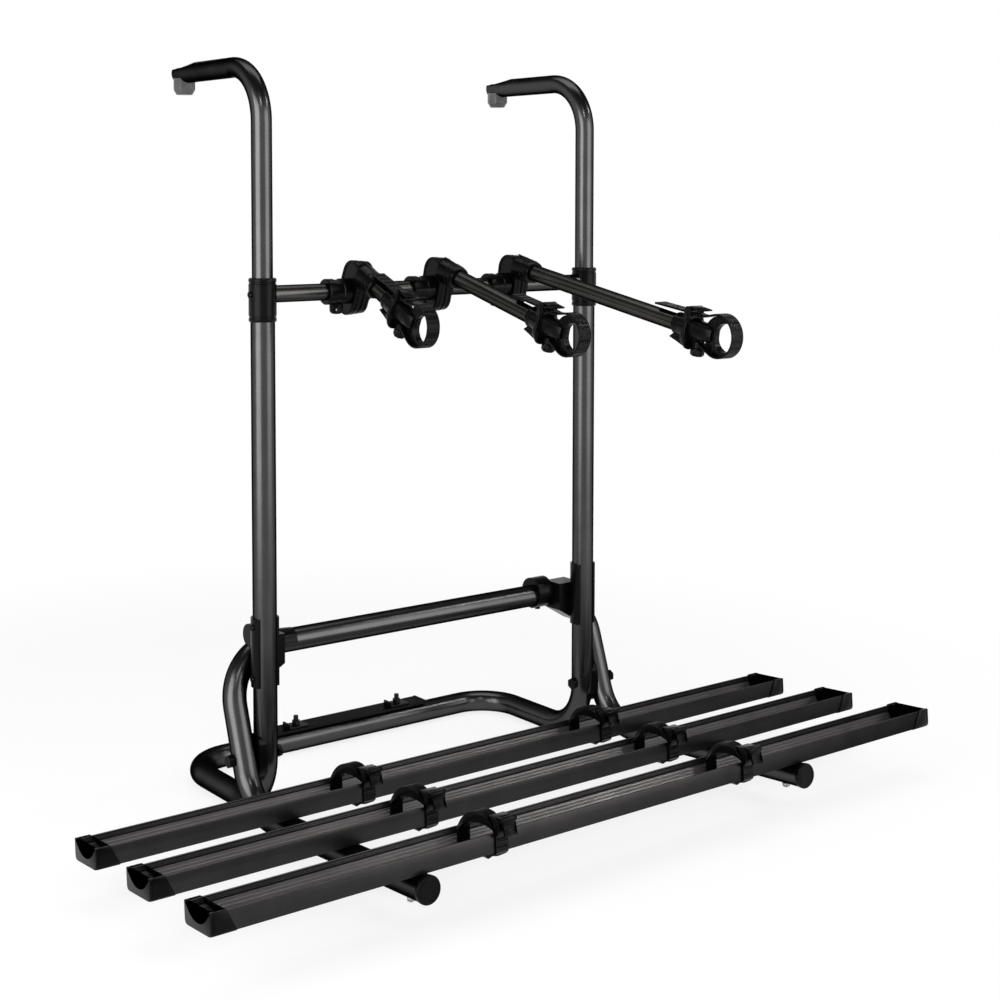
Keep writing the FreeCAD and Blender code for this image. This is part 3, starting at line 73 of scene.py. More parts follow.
def rounded(corners, radius, steps):
    # a corner becomes the curve (1-t)^2 start + 2t(1-t) corner + t^2 end, which touches both sides
    corners = np.asarray(corners, float)
    before = np.roll(corners, 1, 0) - corners
    after = np.roll(corners, -1, 0) - corners
    longest = 0.49 * np.minimum(np.linalg.norm(before, axis=1), np.linalg.norm(after, axis=1))
    reach = np.minimum(np.broadcast_to(radius, len(corners)), longest)[:, None]
    start = corners + unit(before) * reach
    end = corners + unit(after) * reach
    t = np.linspace(0, 1, steps)[None, :, None]
    curve = (1 - t) ** 2 * start[:, None] + 2 * t * (1 - t) * corners[:, None] + t ** 2 * end[:, None]
    return curve.reshape(-1, corners.shape[1])


def circle(radius, count, u=0.0, v=0.0):
    # u + r cos a, v + r sin a
    a = np.arange(count) * 2 * math.pi / count
    return np.stack([u + radius * np.cos(a), v + radius * np.sin(a)], 1)


def stadium(radius, low, high, count):
    # a circle cut in half, its lower half moved down to low and its upper half up to high
    ring = circle(radius, count)
    ring[:, 1] += np.where(ring[:, 1] >= 0, high, low)
    return ring


def inset(outline, amount):
    # every point moves inwards along the normal of the line through its two neighbours
    along = unit(np.roll(outline, -1, 0) - np.roll(outline, 1, 0))
    nearby = np.roll(outline, -1, 0)
    area = np.sum(outline[:, 0] * nearby[:, 1] - nearby[:, 0] * outline[:, 1])
    inward = np.stack([-along[:, 1], along[:, 0]], 1) * np.sign(area)
    return outline + inward * amount


def bentPath(points, bends):
    # straight runs joined by arcs: an arc of radius r starts r tan(turn / 2) before its corner
    points = np.asarray(points, float)
    places = [points[:1]]
    ways = [unit(points[1:2] - points[:1])]
    for index, radius in enumerate(bends, 1):
        back = unit(points[index - 1] - points[index])
        ahead = unit(points[index + 1] - points[index])
        turn = math.pi - math.acos(float(back @ ahead))
        start = points[index] + back * radius * math.tan(turn / 2)
        centre = points[index] + unit(back + ahead) * radius / math.cos(turn / 2)
        t = np.linspace(0, turn, max(8, int(math.degrees(turn) / 3)))[:, None]
        out = unit(start - centre)
        places.append(centre + radius * (np.cos(t) * out - np.sin(t) * back))
        ways.append(-np.sin(t) * out - np.cos(t) * back)
    places.append(points[-1:])
    ways.append(unit(points[-1:] - points[-2:-1]))
    return np.concatenate(places), np.concatenate(ways)


# skins: each gives points, faces and the faces' flat coordinates in metres

def skin(grid, loop=False, move=None):
    # quads between the rows of a grid that closes round its columns; a negative volume is turned outwards
    grid = move(grid) if move else grid
    rows, columns = grid.shape[:2]
    index = np.arange(rows * columns).reshape(rows, columns)
    here = index if loop else index[:-1]
    ahead = np.roll(index, -1, 0) if loop else index[1:]
    quads = np.stack([here, np.roll(here, -1, 1), np.roll(ahead, -1, 1), ahead], -1).reshape(-1, 4)
    points = grid.reshape(-1, 3)
    steps = np.linalg.norm(np.diff(grid, axis=0, append=grid[:1] if loop else grid[-1:]), axis=-1).mean(1)
    along = np.concatenate([[0], np.cumsum(steps)])
    belt = grid[rows // 2]
    around = np.concatenate([[0], np.cumsum(np.linalg.norm(np.roll(belt, -1, 0) - belt, axis=1))])
    flat = np.stack(np.meshgrid(along, around, indexing="ij"), -1) / 1000
    hereFlat, aheadFlat = flat[:len(here)], flat[1:len(here) + 1]
    corners = np.stack([hereFlat[:, :-1], hereFlat[:, 1:], aheadFlat[:, 1:], aheadFlat[:, :-1]], 2)
    corners = corners.reshape(-1, 4, 2)
    ends = [] if loop else [index[0, ::-1], index[-1]]
    endFlats = [] if loop else [flat[0, :-1][::-1], flat[rows - 1, :-1]]
    fans = [np.stack([np.full(columns - 2, end[0]), end[1:-1], end[2:]], 1) for end in ends]
    triangles = np.concatenate([quads[:, [0, 1, 2]], quads[:, [0, 2, 3]]] + fans)
    a, b, c = (points[triangles[:, k]] - points.mean(0) for k in range(3))
    if np.sum(a * np.cross(b, c)) < 0:
        quads = quads[:, ::-1]
        corners = corners[:, ::-1]
        ends = [end[::-1] for end in ends]
        endFlats = [end[::-1] for end in endFlats]
    faces = quads.tolist() + [end.tolist() for end in ends]
    return points, faces, np.concatenate([corners.reshape(-1, 2)] + endFlats)


def across(grid, axis):
    # a grid drawn as (depth, u, v) is laid with its depth along X, Y or Z, and u, v on the other two
    order = {"X": (0, 1, 2), "Y": (1, 0, 2), "Z": (1, 2, 0)}[axis]
    return grid[..., list(order)]


def mirrored(corners):
    # the corners of one side, then those of the other side in the opposite order
    return list(corners) + [(-u, *rest) for u, *rest in corners[::-1]]


def box(left, right, low, high):
    # four corners, round from the lower left
    return [(left, low), (right, low), (right, high), (left, high)]


def arc(radius, start, stop, count, u, v):
    # u + r cos a, v + r sin a, while a runs from start to stop in degrees
    a = np.radians(np.linspace(start, stop, count))
    return list(np.stack([u + radius * np.cos(a), v + radius * np.sin(a)], 1))


def slabGrid(outline, low, high, edge, steps=3):
    # an outline given a depth; near each end the depth grows by e(1 - cos a)
    # while the outline moves in by e(1 - sin a)
    outline = np.asarray(outline, float)
    a = np.linspace(0, math.pi / 2, steps)
    inward = np.concatenate([edge * (1 - np.sin(a)), edge * (1 - np.sin(a[::-1]))])
    depth = np.concatenate([low + edge * (1 - np.cos(a)), high - edge * (1 - np.cos(a[::-1]))])
    rings = np.stack([inset(outline, amount) for amount in inward])
    return np.concatenate([np.broadcast_to(depth[:, None, None], rings.shape[:2] + (1,)), rings], -1)


def slab(outline, low, high, edge, axis, move):
    # the outline carried from low to high along the axis, with round edges
    return skin(across(slabGrid(outline, low, high, edge), axis), move=move)


def spun(profile, axis, at, count, lobes=0, lobeDepth=0.0, move=None, loop=False):
    # r, h pairs turned round: u = r cos a, v = r sin a, with h along the axis from a point; lobes take
    # depth times (1 - cos(lobes a)) / 2 off the radius, times the fourth power of its share of the widest
    profile = np.asarray(profile, float)
    a = np.arange(count) * 2 * math.pi / count
    wave = lobeDepth * (np.cos(lobes * a) - 1) / 2
    radius = profile[:, :1] + (profile[:, :1] / profile[:, 0].max()) ** 4 * wave
    height = np.broadcast_to(profile[:, 1:], radius.shape)
    grid = across(np.stack([height, radius * np.cos(a), radius * np.sin(a)], -1), axis)
    return skin(grid + np.asarray(at, float), loop, move)


def ringPlate(outer, inner, low, high, edge, axis, move):
    # a plate between two outlines of equal count: outside low to high, then inside high to low
    outside = slabGrid(outer, low, high, edge)
    inside = slabGrid(inner, low, high, -edge)[::-1]
    return skin(across(np.concatenate([outside, inside]), axis), True, move)


def tube(points, bends, diameter, wall, deep=30.0, shape=None, count=40):
    # rings of radius r round a bent path, each end turned in over its wall and closed deep inside
    places, ways = bentPath(points, bends)
    outer = diameter / 2
    inner = outer - wall
    lip = 0.4
    first, last = ways[0], ways[-1]
    places = np.concatenate([[places[0] + first * deep, places[0], places[0]], [places[0] + first * lip],
                             places[1:-1], [places[-1] - last * lip],
                             [places[-1], places[-1], places[-1] - last * deep]])
    ways = np.concatenate([[first] * 4, ways[1:-1], [last] * 4])
    radius = np.full(len(places), outer)
    radius[[0, 1, -2, -1]] = inner
    radius[[2, -3]] = outer - lip
    lean = np.array([0.48, 0.62, 0.62])     # a direction that no run of the tubes takes
    side = unit(lean - (ways @ lean)[:, None] * ways)
    up = np.cross(ways, side)
    a = (np.arange(count) * 2 * math.pi / count)[None, :, None]
    grid = places[:, None] + radius[:, None, None] * (np.cos(a) * side[:, None] + np.sin(a) * up[:, None])
    return skin(grid, move=shape)


def ribbon(path, width, thick, tooth, pitch, tall=None, move=None):
    # a strap's section carried along its inner face; its outer face sinks by the tooth height between teeth
    tangent = unit(np.gradient(path, axis=0) * (0, 1, 1))
    outward = np.stack([0 * tangent[:, 0], -tangent[:, 2], tangent[:, 1]], 1)
    half, rim = width / 2, 1.6              # the teeth stop at a smooth rim
    corners = [(-half, 0), (half, 0), (half, thick), (half - rim, thick), (rim - half, thick),
               (-half, thick)]
    section = rounded(corners, [0.6, 0.6, 0.6, 0.05, 0.05, 0.6], 3)
    distance = np.concatenate([[0], np.cumsum(np.linalg.norm(np.diff(path, axis=0), axis=1))])
    wave = np.clip(0.5 + 1.3 * np.cos(2 * math.pi * distance / pitch), 0, 1)
    toothed = (section[:, 1] > 0.8 * thick) & (np.abs(section[:, 0]) < half - 0.75 * rim)
    rise = section[None, :, 1] - tooth * toothed[None] * (1 - wave[:, None])
    if tall is not None:
        rise = rise + (section[None, :, 1] > thick / 2) * tall[:, None]
    x = path[:, None, 0] + section[None, :, 0]
    y = path[:, None, 1] + rise * outward[:, None, 1]
    z = path[:, None, 2] + rise * outward[:, None, 2]
    return skin(np.stack([x, y, z], -1), move=move)


def addPiece(name, mesh, material, body, nodes):
    # shaded smooth but for edges sharper than 35 degrees, and riding on a body in place of its nodes
    mesh.polygons.foreach_set("use_smooth", np.ones(len(mesh.polygons), bool))
    mesh.set_sharp_from_angle(angle=math.radians(35))
    mesh.materials.clear()
    mesh.materials.append(materials[material])
    piece = bpy.data.objects.new(name, mesh)
    bpy.context.collection.objects.link(piece)
    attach(piece, body)
    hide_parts(*nodes)
    return piece


def makePiece(name, skins, material, body, *nodes):
    # several skins joined in one mesh: each skin's corners are counted on from the one before
    points, faces, flats, offset = [], [], [], 0
    for skinPoints, skinFaces, skinFlat in skins:
        points.append(skinPoints)
        faces += [[corner + offset for corner in face] for face in skinFaces]
        flats.append(skinFlat)
        offset += len(skinPoints)
    mesh = bpy.data.meshes.new(name)
    mesh.from_pydata(toFrame(np.concatenate(points)).tolist(), [], faces)
    layer = mesh.uv_layers.new(name="UVMap")
    layer.data.foreach_set("uv", np.concatenate(flats).astype(np.float32).ravel())
    addPiece(name, mesh, material, body, nodes)


def softened(name, node, material, body, width):
    # a copy of a solid with its doubles merged and its edges bevelled by the width in millimetres
    mesh = frame["nodes"][node].data.copy()
    mesh.name = name
    shape = bmesh.new()
    shape.from_mesh(mesh)
    bmesh.ops.remove_doubles(shape, verts=shape.verts, dist=1e-6)
    bmesh.ops.dissolve_limit(shape, angle_limit=math.radians(1), verts=shape.verts, edges=shape.edges,
                             delimit={"NORMAL"})
    shape.to_mesh(mesh)
    shape.free()
    bevel = addPiece(name, mesh, material, body, [node]).modifiers.new("softEdges", "BEVEL")
    bevel.width = width / 1000
    bevel.segments = 2
    bevel.limit_method = "ANGLE"
    bevel.angle_limit = math.radians(38)
    bevel.use_clamp_overlap = True
    bevel.harden_normals = True


# finishes: grey levels, roughness and its streaks; edge is the reflectance at grazing angles, and the
# painted-light factor is how many times brighter an upward face is painted, as painted light from above

finishes = {
    "tube_aluminium": {"dark": 0.052, "light": 0.068, "rough": 0.26, "edge": 0.05, "tint": (1, 1, 1.01)},
    "hook_aluminium": {"dark": 0.055, "light": 0.072, "rough": 0.23, "edge": 0.05},
    "bar_aluminium": {"dark": 0.050, "light": 0.070, "rough": 0.27, "edge": 0.06, "tint": (1.02, 1, 0.97)},
    # painted light: the rails' upward faces are painted 4.8 times brighter, as if lit from above
    "rail_aluminium": {"dark": 0.027, "light": 0.038, "rough": 0.36, "edge": 0.15, "metal": 0.95,
                       "streak": 0.04, "tint": (1.03, 0.99, 0.98), "paintedUpLight": 4.8},
    "channel_aluminium": {"dark": 0.008, "light": 0.013, "rough": 0.34, "edge": 0.4, "metal": 0.95,
                          "streak": 0.04, "tint": (1, 1, 1.02)},
    "black_plastic": {"colour": 0.0018, "vary": 0.0008, "rough": 0.26, "grain": 1400.0, "bump": 0.08,
                      "shine": 0.08},
    "band_plastic": {"colour": 0.0016, "vary": 0.0006, "rough": 0.22, "grain": 900.0, "bump": 0.10,
                     "shine": 0.09},
    "grey_rubber": {"colour": 0.05, "vary": 0.025, "rough": 0.35, "grain": 400.0, "bump": 0.18,
                    "shine": 0.5},
    "steel": {"dark": 0.012, "light": 0.022, "rough": 0.30, "edge": 0.5, "metal": 0.9},
    "bright_steel": {"dark": 0.20, "light": 0.30, "rough": 0.30, "edge": 0.9},
}
materials = {}


def feed(tree, node, inputs):
    # each input gets its value, or a link where the value is another node's output
    for key, value in inputs.items():
        if isinstance(value, bpy.types.NodeSocket):
            tree.links.new(value, node.inputs[key])
        else:
            node.inputs[key].default_value = value
    return node


def addNode(tree, kind, inputs, **settings):
    # a node with its settings, fed with its inputs
    node = tree.nodes.new(kind)
    for name, value in settings.items():
        setattr(node, name, value)
    return feed(tree, node, inputs)


def noise(tree, vector, scale, detail, roughness):
    # layered noise over the vector times the scale
    inputs = {"Vector": vector, "Scale": scale, "Detail": detail, "Roughness": roughness}
    return addNode(tree, "ShaderNodeTexNoise", inputs).outputs["Fac"]


def ranged(tree, source, limits, results, manner="LINEAR"):
    # the source's limits carried to the results, in a straight line or smoothly
    inputs = dict(zip(("Value", "From Min", "From Max", "To Min", "To Max"), (source, *limits, *results)))
    return addNode(tree, "ShaderNodeMapRange", inputs, interpolation_type=manner).outputs["Result"]


def shaded(tree, source, levels, spots, tint=(1, 1, 1)):
    # a ramp between two grey levels at two spots of the source, each level times the tint
    ramp = addNode(tree, "ShaderNodeValToRGB", {"Fac": source})
    for element, level, spot in zip(ramp.color_ramp.elements, levels, spots):
        element.position = spot
        element.color = (*(level * part for part in tint), 1)
    return ramp.outputs["Color"]


def maximum(tree, first, second):
    # the larger of two values
    return addNode(tree, "ShaderNodeMath", {0: first, 1: second}, operation="MAXIMUM").outputs[0]


def mixed(tree, share, first, second, output):
    # (1 - share) of the first shader and share of the second, sent to the output
    mixer = addNode(tree, "ShaderNodeMixShader", {0: share, 1: first, 2: second})
    feed(tree, tree.nodes[output], {"Surface": mixer.outputs[0]})


def startMaterial(name):
    # a new material's tree, its shader and its coordinates
    materials[name] = bpy.data.materials.new(name)
    materials[name].use_nodes = True
    tree = materials[name].node_tree
    return tree, tree.nodes["Principled BSDF"], addNode(tree, "ShaderNodeTexCoord", {}).outputs


def finishSurface(tree, shader, colour, gloss, height, strength, distance):
    # colour and roughness go to the shader, and the height tilts its normal
    relief = addNode(tree, "ShaderNodeBump", {"Height": height, "Strength": strength, "Distance": distance})
    feed(tree, shader, {"Base Color": colour, "Roughness": gloss, "Normal": relief.outputs["Normal"]})


def metalFinish(name, dark, light, rough, edge, tint=(1, 1, 1), metal=1.0, streak=0.03, paintedUpLight=1.0):
    # die lines run along the piece: noise over flat coordinates that are stretched four hundredfold across
    tree, shader, place = startMaterial(name)
    stretch = addNode(tree, "ShaderNodeMapping", {"Vector": place["UV"], "Scale": (4, 1600, 1)})
    lines = noise(tree, stretch.outputs["Vector"], 1.0, 3.0, 0.6)
    cloud = noise(tree, place["Object"], 22.0, 4.0, 0.55)
    both = addNode(tree, "ShaderNodeMix", {0: 0.45, 2: lines, 3: cloud}, data_type="FLOAT").outputs[0]
    colour = shaded(tree, both, (dark, light), (0.36, 0.64), tint)
    if paintedUpLight > 1:
        # painted light: faces that look upwards are painted brighter, as if lit from above: the colour times 1 to
        # the painted-light factor as the normal's z grows
        facing = addNode(tree, "ShaderNodeSeparateXYZ", {"Vector": place["Normal"]})
        paintedUpScale = ranged(tree, facing.outputs["Z"], (0.25, 0.6), (1.0, paintedUpLight))
        scaled = addNode(tree, "ShaderNodeVectorMath", {0: colour, "Scale": paintedUpScale}, operation="SCALE")
        colour = scaled.outputs["Vector"]
    gloss = ranged(tree, both, (0, 1), (rough - streak, rough + streak))
    finishSurface(tree, shader, colour, gloss, lines, 0.05, 0.0004)
    feed(tree, shader, {"Metallic": metal, "Specular Tint": (edge, edge, edge, 1)})


def mouldedFinish(name, colour, vary, rough, grain, bump, shine):
    # fine spark-eroded grain in bump and gloss, with slow colour change over a few centimetres
    tree, shader, place = startMaterial(name)
    fine = noise(tree, place["Object"], grain, 3.0, 0.6)
    slow = noise(tree, place["Object"], 35.0, 3.0, 0.5)
    base = shaded(tree, slow, (colour - vary / 2, colour + vary / 2), (0.35, 0.65))
    gloss = ranged(tree, fine, (0, 1), (rough - 0.08, rough + 0.10))
    finishSurface(tree, shader, base, gloss, fine, bump, 0.0003)
    feed(tree, shader, {"Specular IOR Level": shine})


for finishName, values in finishes.items():
    if "edge" in values:
        metalFinish(finishName, **values)
    else:
        mouldedFinish(finishName, **values)
for part in frame["record"]["subparts"]:
    for materialSlot in frame["nodes"][part["node"]].material_slots:
        materialSlot.material = materials[part["material_slot"]]
print("finishes ready:", len(materials))

# bent tubes; a throat is how far the inside of an open end reaches

wallFrame = {"halfGap": 302, "top": 752.5, "reach": 248, "lowBend": 80, "corner": 70, "tube": 35, "wall": 2}
hook = {"tube": 30, "wall": 2, "bottom": 482.5, "height": 1071.5, "bend": 80, "reach": 242, "bevel": 9,
        "bevelRun": 54, "throat": 12}
platform = {"halfGap": 339, "barY": 47.5, "barZ": 229, "kneeY": -26, "kneeZ": 13, "kneeBend": 78,
            "corner": 80, "arm": 422.5, "tilt": 4, "tube": 35, "wall": 2, "capWidth": 36.5, "capRim": 5}
upperBar = {"height": 747, "tube": 25, "wall": 2, "endGap": 15, "throat": 4}
tilt = math.radians(platform["tilt"])

posts = {"left": -wallFrame["halfGap"], "right": wallFrame["halfGap"]}
frameRoute = mirrored([(posts["left"], *place) for place in
                       ((0, wallFrame["top"]), (0, 0), (wallFrame["reach"], 0))])
frameBends = [wallFrame[bend] for bend in ("lowBend", "corner", "corner", "lowBend")]
frameSkin = tube(frameRoute, frameBends, wallFrame["tube"], wallFrame["wall"])
makePiece("frame_tube_drawn", [frameSkin], "tube_aluminium", "wall_frame", "wall_frame_tube")

arms = (-platform["halfGap"], platform["halfGap"])
knee = (platform["kneeY"], platform["kneeZ"])
armEnd = (knee[0] - platform["arm"] * math.cos(tilt), knee[1] + platform["arm"] * math.sin(tilt))
armTop = (platform["barY"], platform["barZ"])
platformRoute = mirrored([(arms[0], *place) for place in (armEnd, knee, armTop)])
platformBends = [platform[bend] for bend in ("kneeBend", "corner", "corner", "kneeBend")]
platformSkin = tube(platformRoute, platformBends, platform["tube"], platform["wall"])
makePiece("platform_tube_drawn", [platformSkin], "tube_aluminium", "platform", "platform_tube")

bevelStart = hook["reach"] - hook["bevelRun"]


def flattenTip(grid):
    # points over the sloping plane at the hook's tip drop down to it
    slope = hook["bevel"] / (hook["bevelRun"] + 1)
    plane = hook["height"] + hook["tube"] / 2 - slope * np.clip(grid[..., 1] - bevelStart, 0, None)
    tip = grid[..., 1] > bevelStart
    grid[..., 2] = np.where(tip, np.minimum(grid[..., 2], plane), grid[..., 2])
    return grid


for side, x in posts.items():
    route = [(x, 0, hook["bottom"]), (x, 0, hook["height"]), (x, bevelStart, hook["height"]),
             (x, hook["reach"], hook["height"])]
    hookSkin = tube(route, [hook["bend"], 1], hook["tube"], hook["wall"], deep=hook["throat"],
                    shape=flattenTip)
    makePiece(f"hook_tube_drawn_{side}", [hookSkin], "hook_aluminium", f"hook_{side}", f"hook_tube_{side}")

barEnd = wallFrame["halfGap"] - upperBar["endGap"]
barRoute = [(-barEnd, 0, upperBar["height"]), (barEnd, 0, upperBar["height"])]
barSkin = tube(barRoute, [], upperBar["tube"], upperBar["wall"], deep=upperBar["throat"])
makePiece("upper_crossbar_drawn", [barSkin], "bar_aluminium", "wall_frame", "upper_crossbar")
print("tubes drawn")

# wheel rails, their end caps and their bolts

rail = {"length": 1260, "width": 60, "height": 25, "wall": 2.5, "lip": 1.0, "ledge": (27.5, 18.4),
        "toe": (13, 4.2), "ribs": 4, "ribRise": 0.35, "wallRibs": (20.8, 22.2)}
railCap = {"length": 32, "wall": 1.5, "end": 3, "notch": 27, "sill": 8.5, "fit": 0.2, "slant": 14,
           "hem": 1.2, "pip": 1.3, "pipBack": 9, "pipHigh": 9}
railBolt = {"dome": [(1.2, 7.2), (3.4, 6.9), (5.0, 6.0), (6.0, 4.4), (6.0, 4.2), (3.0, 4.2), (3.0, -41),
                     (2.2, -41.6), (1, -41.6)],
            "nut": 5.7, "nutLow": -40.0, "nutHigh": -35.2}
rails = {"rear": 88, "middle": 238, "front": 388}      # how far each one stands along the arm from the knee


def onRail(name):
    # the seat of a rail: from the knee back along the leaning arm, then up by half the arm's tube
    along, lift = rails[name], platform["tube"] / 2
    y = knee[0] - along * math.cos(tilt) + lift * math.sin(tilt)
    z = knee[1] + along * math.sin(tilt) + lift * math.cos(tilt)
    return lambda points: leaning(points, -platform["tilt"], y, z)


def railOutline():
    # half the channel's section, mirrored: outside face, lip, upper wall, ribbed slope and flat floor
    half, height = rail["width"] / 2, rail["height"]
    inner = half - rail["wall"]
    lip = inner - rail["lip"]
    ledge, toe = np.array(rail["ledge"], float), np.array(rail["toe"], float)
    corners = [(half, 0), (half, height), (lip, height), (lip, height - 1.2), (inner, height - 1.9)]
    for z in rail["wallRibs"][::-1]:
        corners += [(inner, z + 0.4), (inner - 1.2, z + 0.3), (inner - 1.2, z - 0.2), (inner, z - 0.3)]
    corners += [(inner, ledge[1] + 1.2), (inner - 1.6, ledge[1] + 1.2), (inner - 1.6, ledge[1])]
    slope = toe - ledge
    normal = np.array([slope[1], -slope[0]]) / np.linalg.norm(slope)
    for share in (np.arange(rail["ribs"]) + 0.7) / (rail["ribs"] + 0.4):
        for step, rise in ((-0.05, 0), (-0.03, 1), (0.02, 1), (0.04, 0)):
            corners.append(tuple(ledge + slope * (share + step) + normal * rise * rail["ribRise"]))
    return rounded(mirrored(corners + [tuple(toe)]), 0.35, 3)


railSection, railEnd = railOutline(), rail["length"] / 2
for name in rails:
    railSkin = slab(railSection, -railEnd, railEnd, 0.3, "X", onRail(name))
    makePiece(f"rail_drawn_{name}", [railSkin], "rail_aluminium", "platform", f"rail_{name}")


def capSkins(sign, move):
    # a cap's skirt, whose mouth slants; its end wall, whose notch is part of a wide circle; and two pips
    length, fit, sill, half = (railCap[key] for key in ("length", "fit", "sill", "notch"))
    inside, under = rail["width"] / 2 + fit, rail["height"] + 0.1
    outside, hem = inside + railCap["wall"], inside - railCap["hem"]
    top, bottom = rail["height"] + railCap["wall"], -fit - railCap["wall"]
    wall = [(outside, bottom), (outside, top), (hem, top), (hem, under), (inside, under), (inside, -fit)]
    radii = [6, 1.2, 0.3, 0.05, 0.05, 3]
    grid = slabGrid(rounded(mirrored(wall), radii + radii[::-1], 5), railEnd - length, railEnd + fit, 0.4)
    share = np.clip((grid[..., 2] - bottom) / (top - bottom), 0, 1)
    grid[..., 0] += np.where(grid[..., 0] < railEnd - length / 2, railCap["slant"] * share, 0)
    grid[..., 0] *= sign
    deep = top - sill
    radius = (half * half + deep * deep) / (2 * deep)
    sweep = math.degrees(math.asin(half / radius))
    notch = arc(radius, sweep - 90, -sweep - 90, 19, 0, sill + radius)
    plate = [(-outside, bottom), (outside, bottom), (outside, top), *notch, (-outside, top)]
    plate = rounded(plate, [7, 7, 1.2, 0.8] + [0.01] * 17 + [0.8, 1.2], 4)
    endGrid = slabGrid(plate, railEnd - 2.5, railEnd + railCap["end"] - 0.2, 1.0, 4)
    endGrid[..., 0] *= sign
    pip = circle(railCap["pip"], 12, sign * (railEnd - railCap["pipBack"]), railCap["pipHigh"])
    pips = [slab(pip, low, low + 0.8, 0.3, "Y", move) for low in (-outside - 0.4, outside - 0.4)]
    return [skin(grid, move=move), skin(endGrid, move=move)] + pips


for side, sign in (("left", -1), ("right", 1)):
    skins = [capSkin for name in rails for capSkin in capSkins(sign, onRail(name))]
    makePiece(f"rail_caps_moulded_{side}", skins, "black_plastic", "platform", f"rail_caps_{side}")

skins = []
for name in rails:
    for x in arms:
        nut = rounded(circle(railBolt["nut"], 6, x), 0.3, 2)
        skins.append(spun(railBolt["dome"], "Z", (x, 0, 0), 24, move=onRail(name)))
        skins.append(slab(nut, railBolt["nutLow"], railBolt["nutHigh"], 0.5, "Z", onRail(name)))
makePiece("rail_bolts_turned", skins, "bright_steel", "platform", "rail_bolts")
print("rails laid")

# wheel straps with their buckles and levers

strap = {"leftX": -219, "rightX": 227, "skew": 24, "width": 20, "thick": 3, "innerY": 15, "frontY": -30.3,
         "start": 4.5, "gap": 0.3, "lowBend": 2.5, "tuck": 20, "tooth": 0.5, "pitch": 2.6, "pad": 11,
         "foot": [(-25, -0.4), (-20, -5.5), (-13, -3.4), (-5, -5.2), (9, -4.2), (11, -2.2), (6, -0.4)],
         "footDepth": (1, 13)}
buckle = {"width": 25, "deep": 9, "low": 20, "high": 47, "barrel": 7, "pin": 3.2, "earThick": 2.2,
          "lever": 20, "leverThick": 3, "ridges": 5, "curl": 3.5}


def strapPath(x):
    # up the back leg, over in a half ellipse whose x moves forward evenly, down the front and back
    # underneath; the second value is the pad's thickness, which grows as the sine squared of the turn
    back, front, skew, radius = (strap[key] for key in ("innerY", "frontY", "skew", "lowBend"))
    middle, reach = (back + front) / 2, (back - front) / 2
    turn = np.linspace(0, math.pi, 160)[1:]
    up = np.linspace(strap["start"], rail["height"], 56)
    leg = np.stack([0 * up + x - skew, 0 * up + back, up], 1)
    arch = np.stack([x - skew * (1 - turn / math.pi), middle + reach * np.cos(turn),
                     rail["height"] + (reach - strap["pad"]) * np.sin(turn)], 1)
    low = radius - strap["gap"]
    down = np.linspace(rail["height"], low, 60)[1:]
    face = np.stack([0 * down + x, 0 * down + front, down], 1)
    quarter = np.linspace(0, math.pi / 2, 9)[1:]
    bend = np.stack([0 * quarter + x, front + radius * (1 - np.cos(quarter)),
                     low - radius * np.sin(quarter)], 1)
    away = np.linspace(front + radius, front + strap["tuck"], 40)[1:]
    tail = np.stack([0 * away + x, away, 0 * away - strap["gap"]], 1)
    path = np.concatenate([leg, arch, face, bend, tail])
    pad = np.zeros(len(path))
    pad[len(leg):len(leg) + len(arch)] = strap["pad"] * np.sin(turn) ** 2
    return path[::-1], pad[::-1]


frontFace = strap["frontY"] - strap["thick"]
buckleFace = frontFace - buckle["deep"]
barrelRadius = buckle["barrel"] / 2
barrelY = buckleFace - barrelRadius - 0.3
barrelZ = buckle["high"] - barrelRadius / 2
archY = (strap["innerY"] + strap["thick"] + frontFace) / 2
archRadius = (strap["innerY"] + strap["thick"] - frontFace) / 2 + 0.3


def buckleOutline():
    # the buckle's side: a flat front, a sloping nose, and a back that follows the strap's arch
    high, low = buckle["high"], buckle["low"]
    angles = np.linspace(0.02, 0.95, 9)
    back = [(archY - archRadius * math.cos(a), rail["height"] + archRadius * math.sin(a)) for a in angles]
    back = [point for point in back if point[1] < high - 1]
    front = [(back[-1][0] + 2.5, high), (buckleFace + 6, high), (buckleFace, high - 5),
             (buckleFace, low + 9), (frontFace - 3, low), (frontFace - 0.35, low)]
    return rounded(front + back, [1, 1.2, 1.2, 2, 1.5, 0.6] + [0.2] * len(back), 3)


def leverOutline():
    # the lever's side: a ridged blade under its barrel, whose last 9 mm curl out as the way down squared
    low, outer = barrelZ - buckle["lever"], barrelY - barrelRadius
    inner = outer + buckle["leverThick"]
    ridges = []
    for z in low + 2 + 2.2 * np.arange(buckle["ridges"]):
        ridges += [(outer, z), (outer + 0.5, z + 0.5), (outer + 0.5, z + 1.3), (outer, z + 1.8)]
    barrel = arc(barrelRadius, 175, -85, 12, barrelY, barrelZ)
    blade = [(outer, low), *ridges[1:], (outer, barrelZ), *barrel, (inner, barrelZ - barrelRadius - 0.6),
             (inner, low + 1), (inner - 1, low)]
    blade = rounded(blade, 0.3, 2)
    blade[:, 0] -= buckle["curl"] * np.clip((low + 9 - blade[:, 1]) / 9, 0, 1) ** 2
    return blade


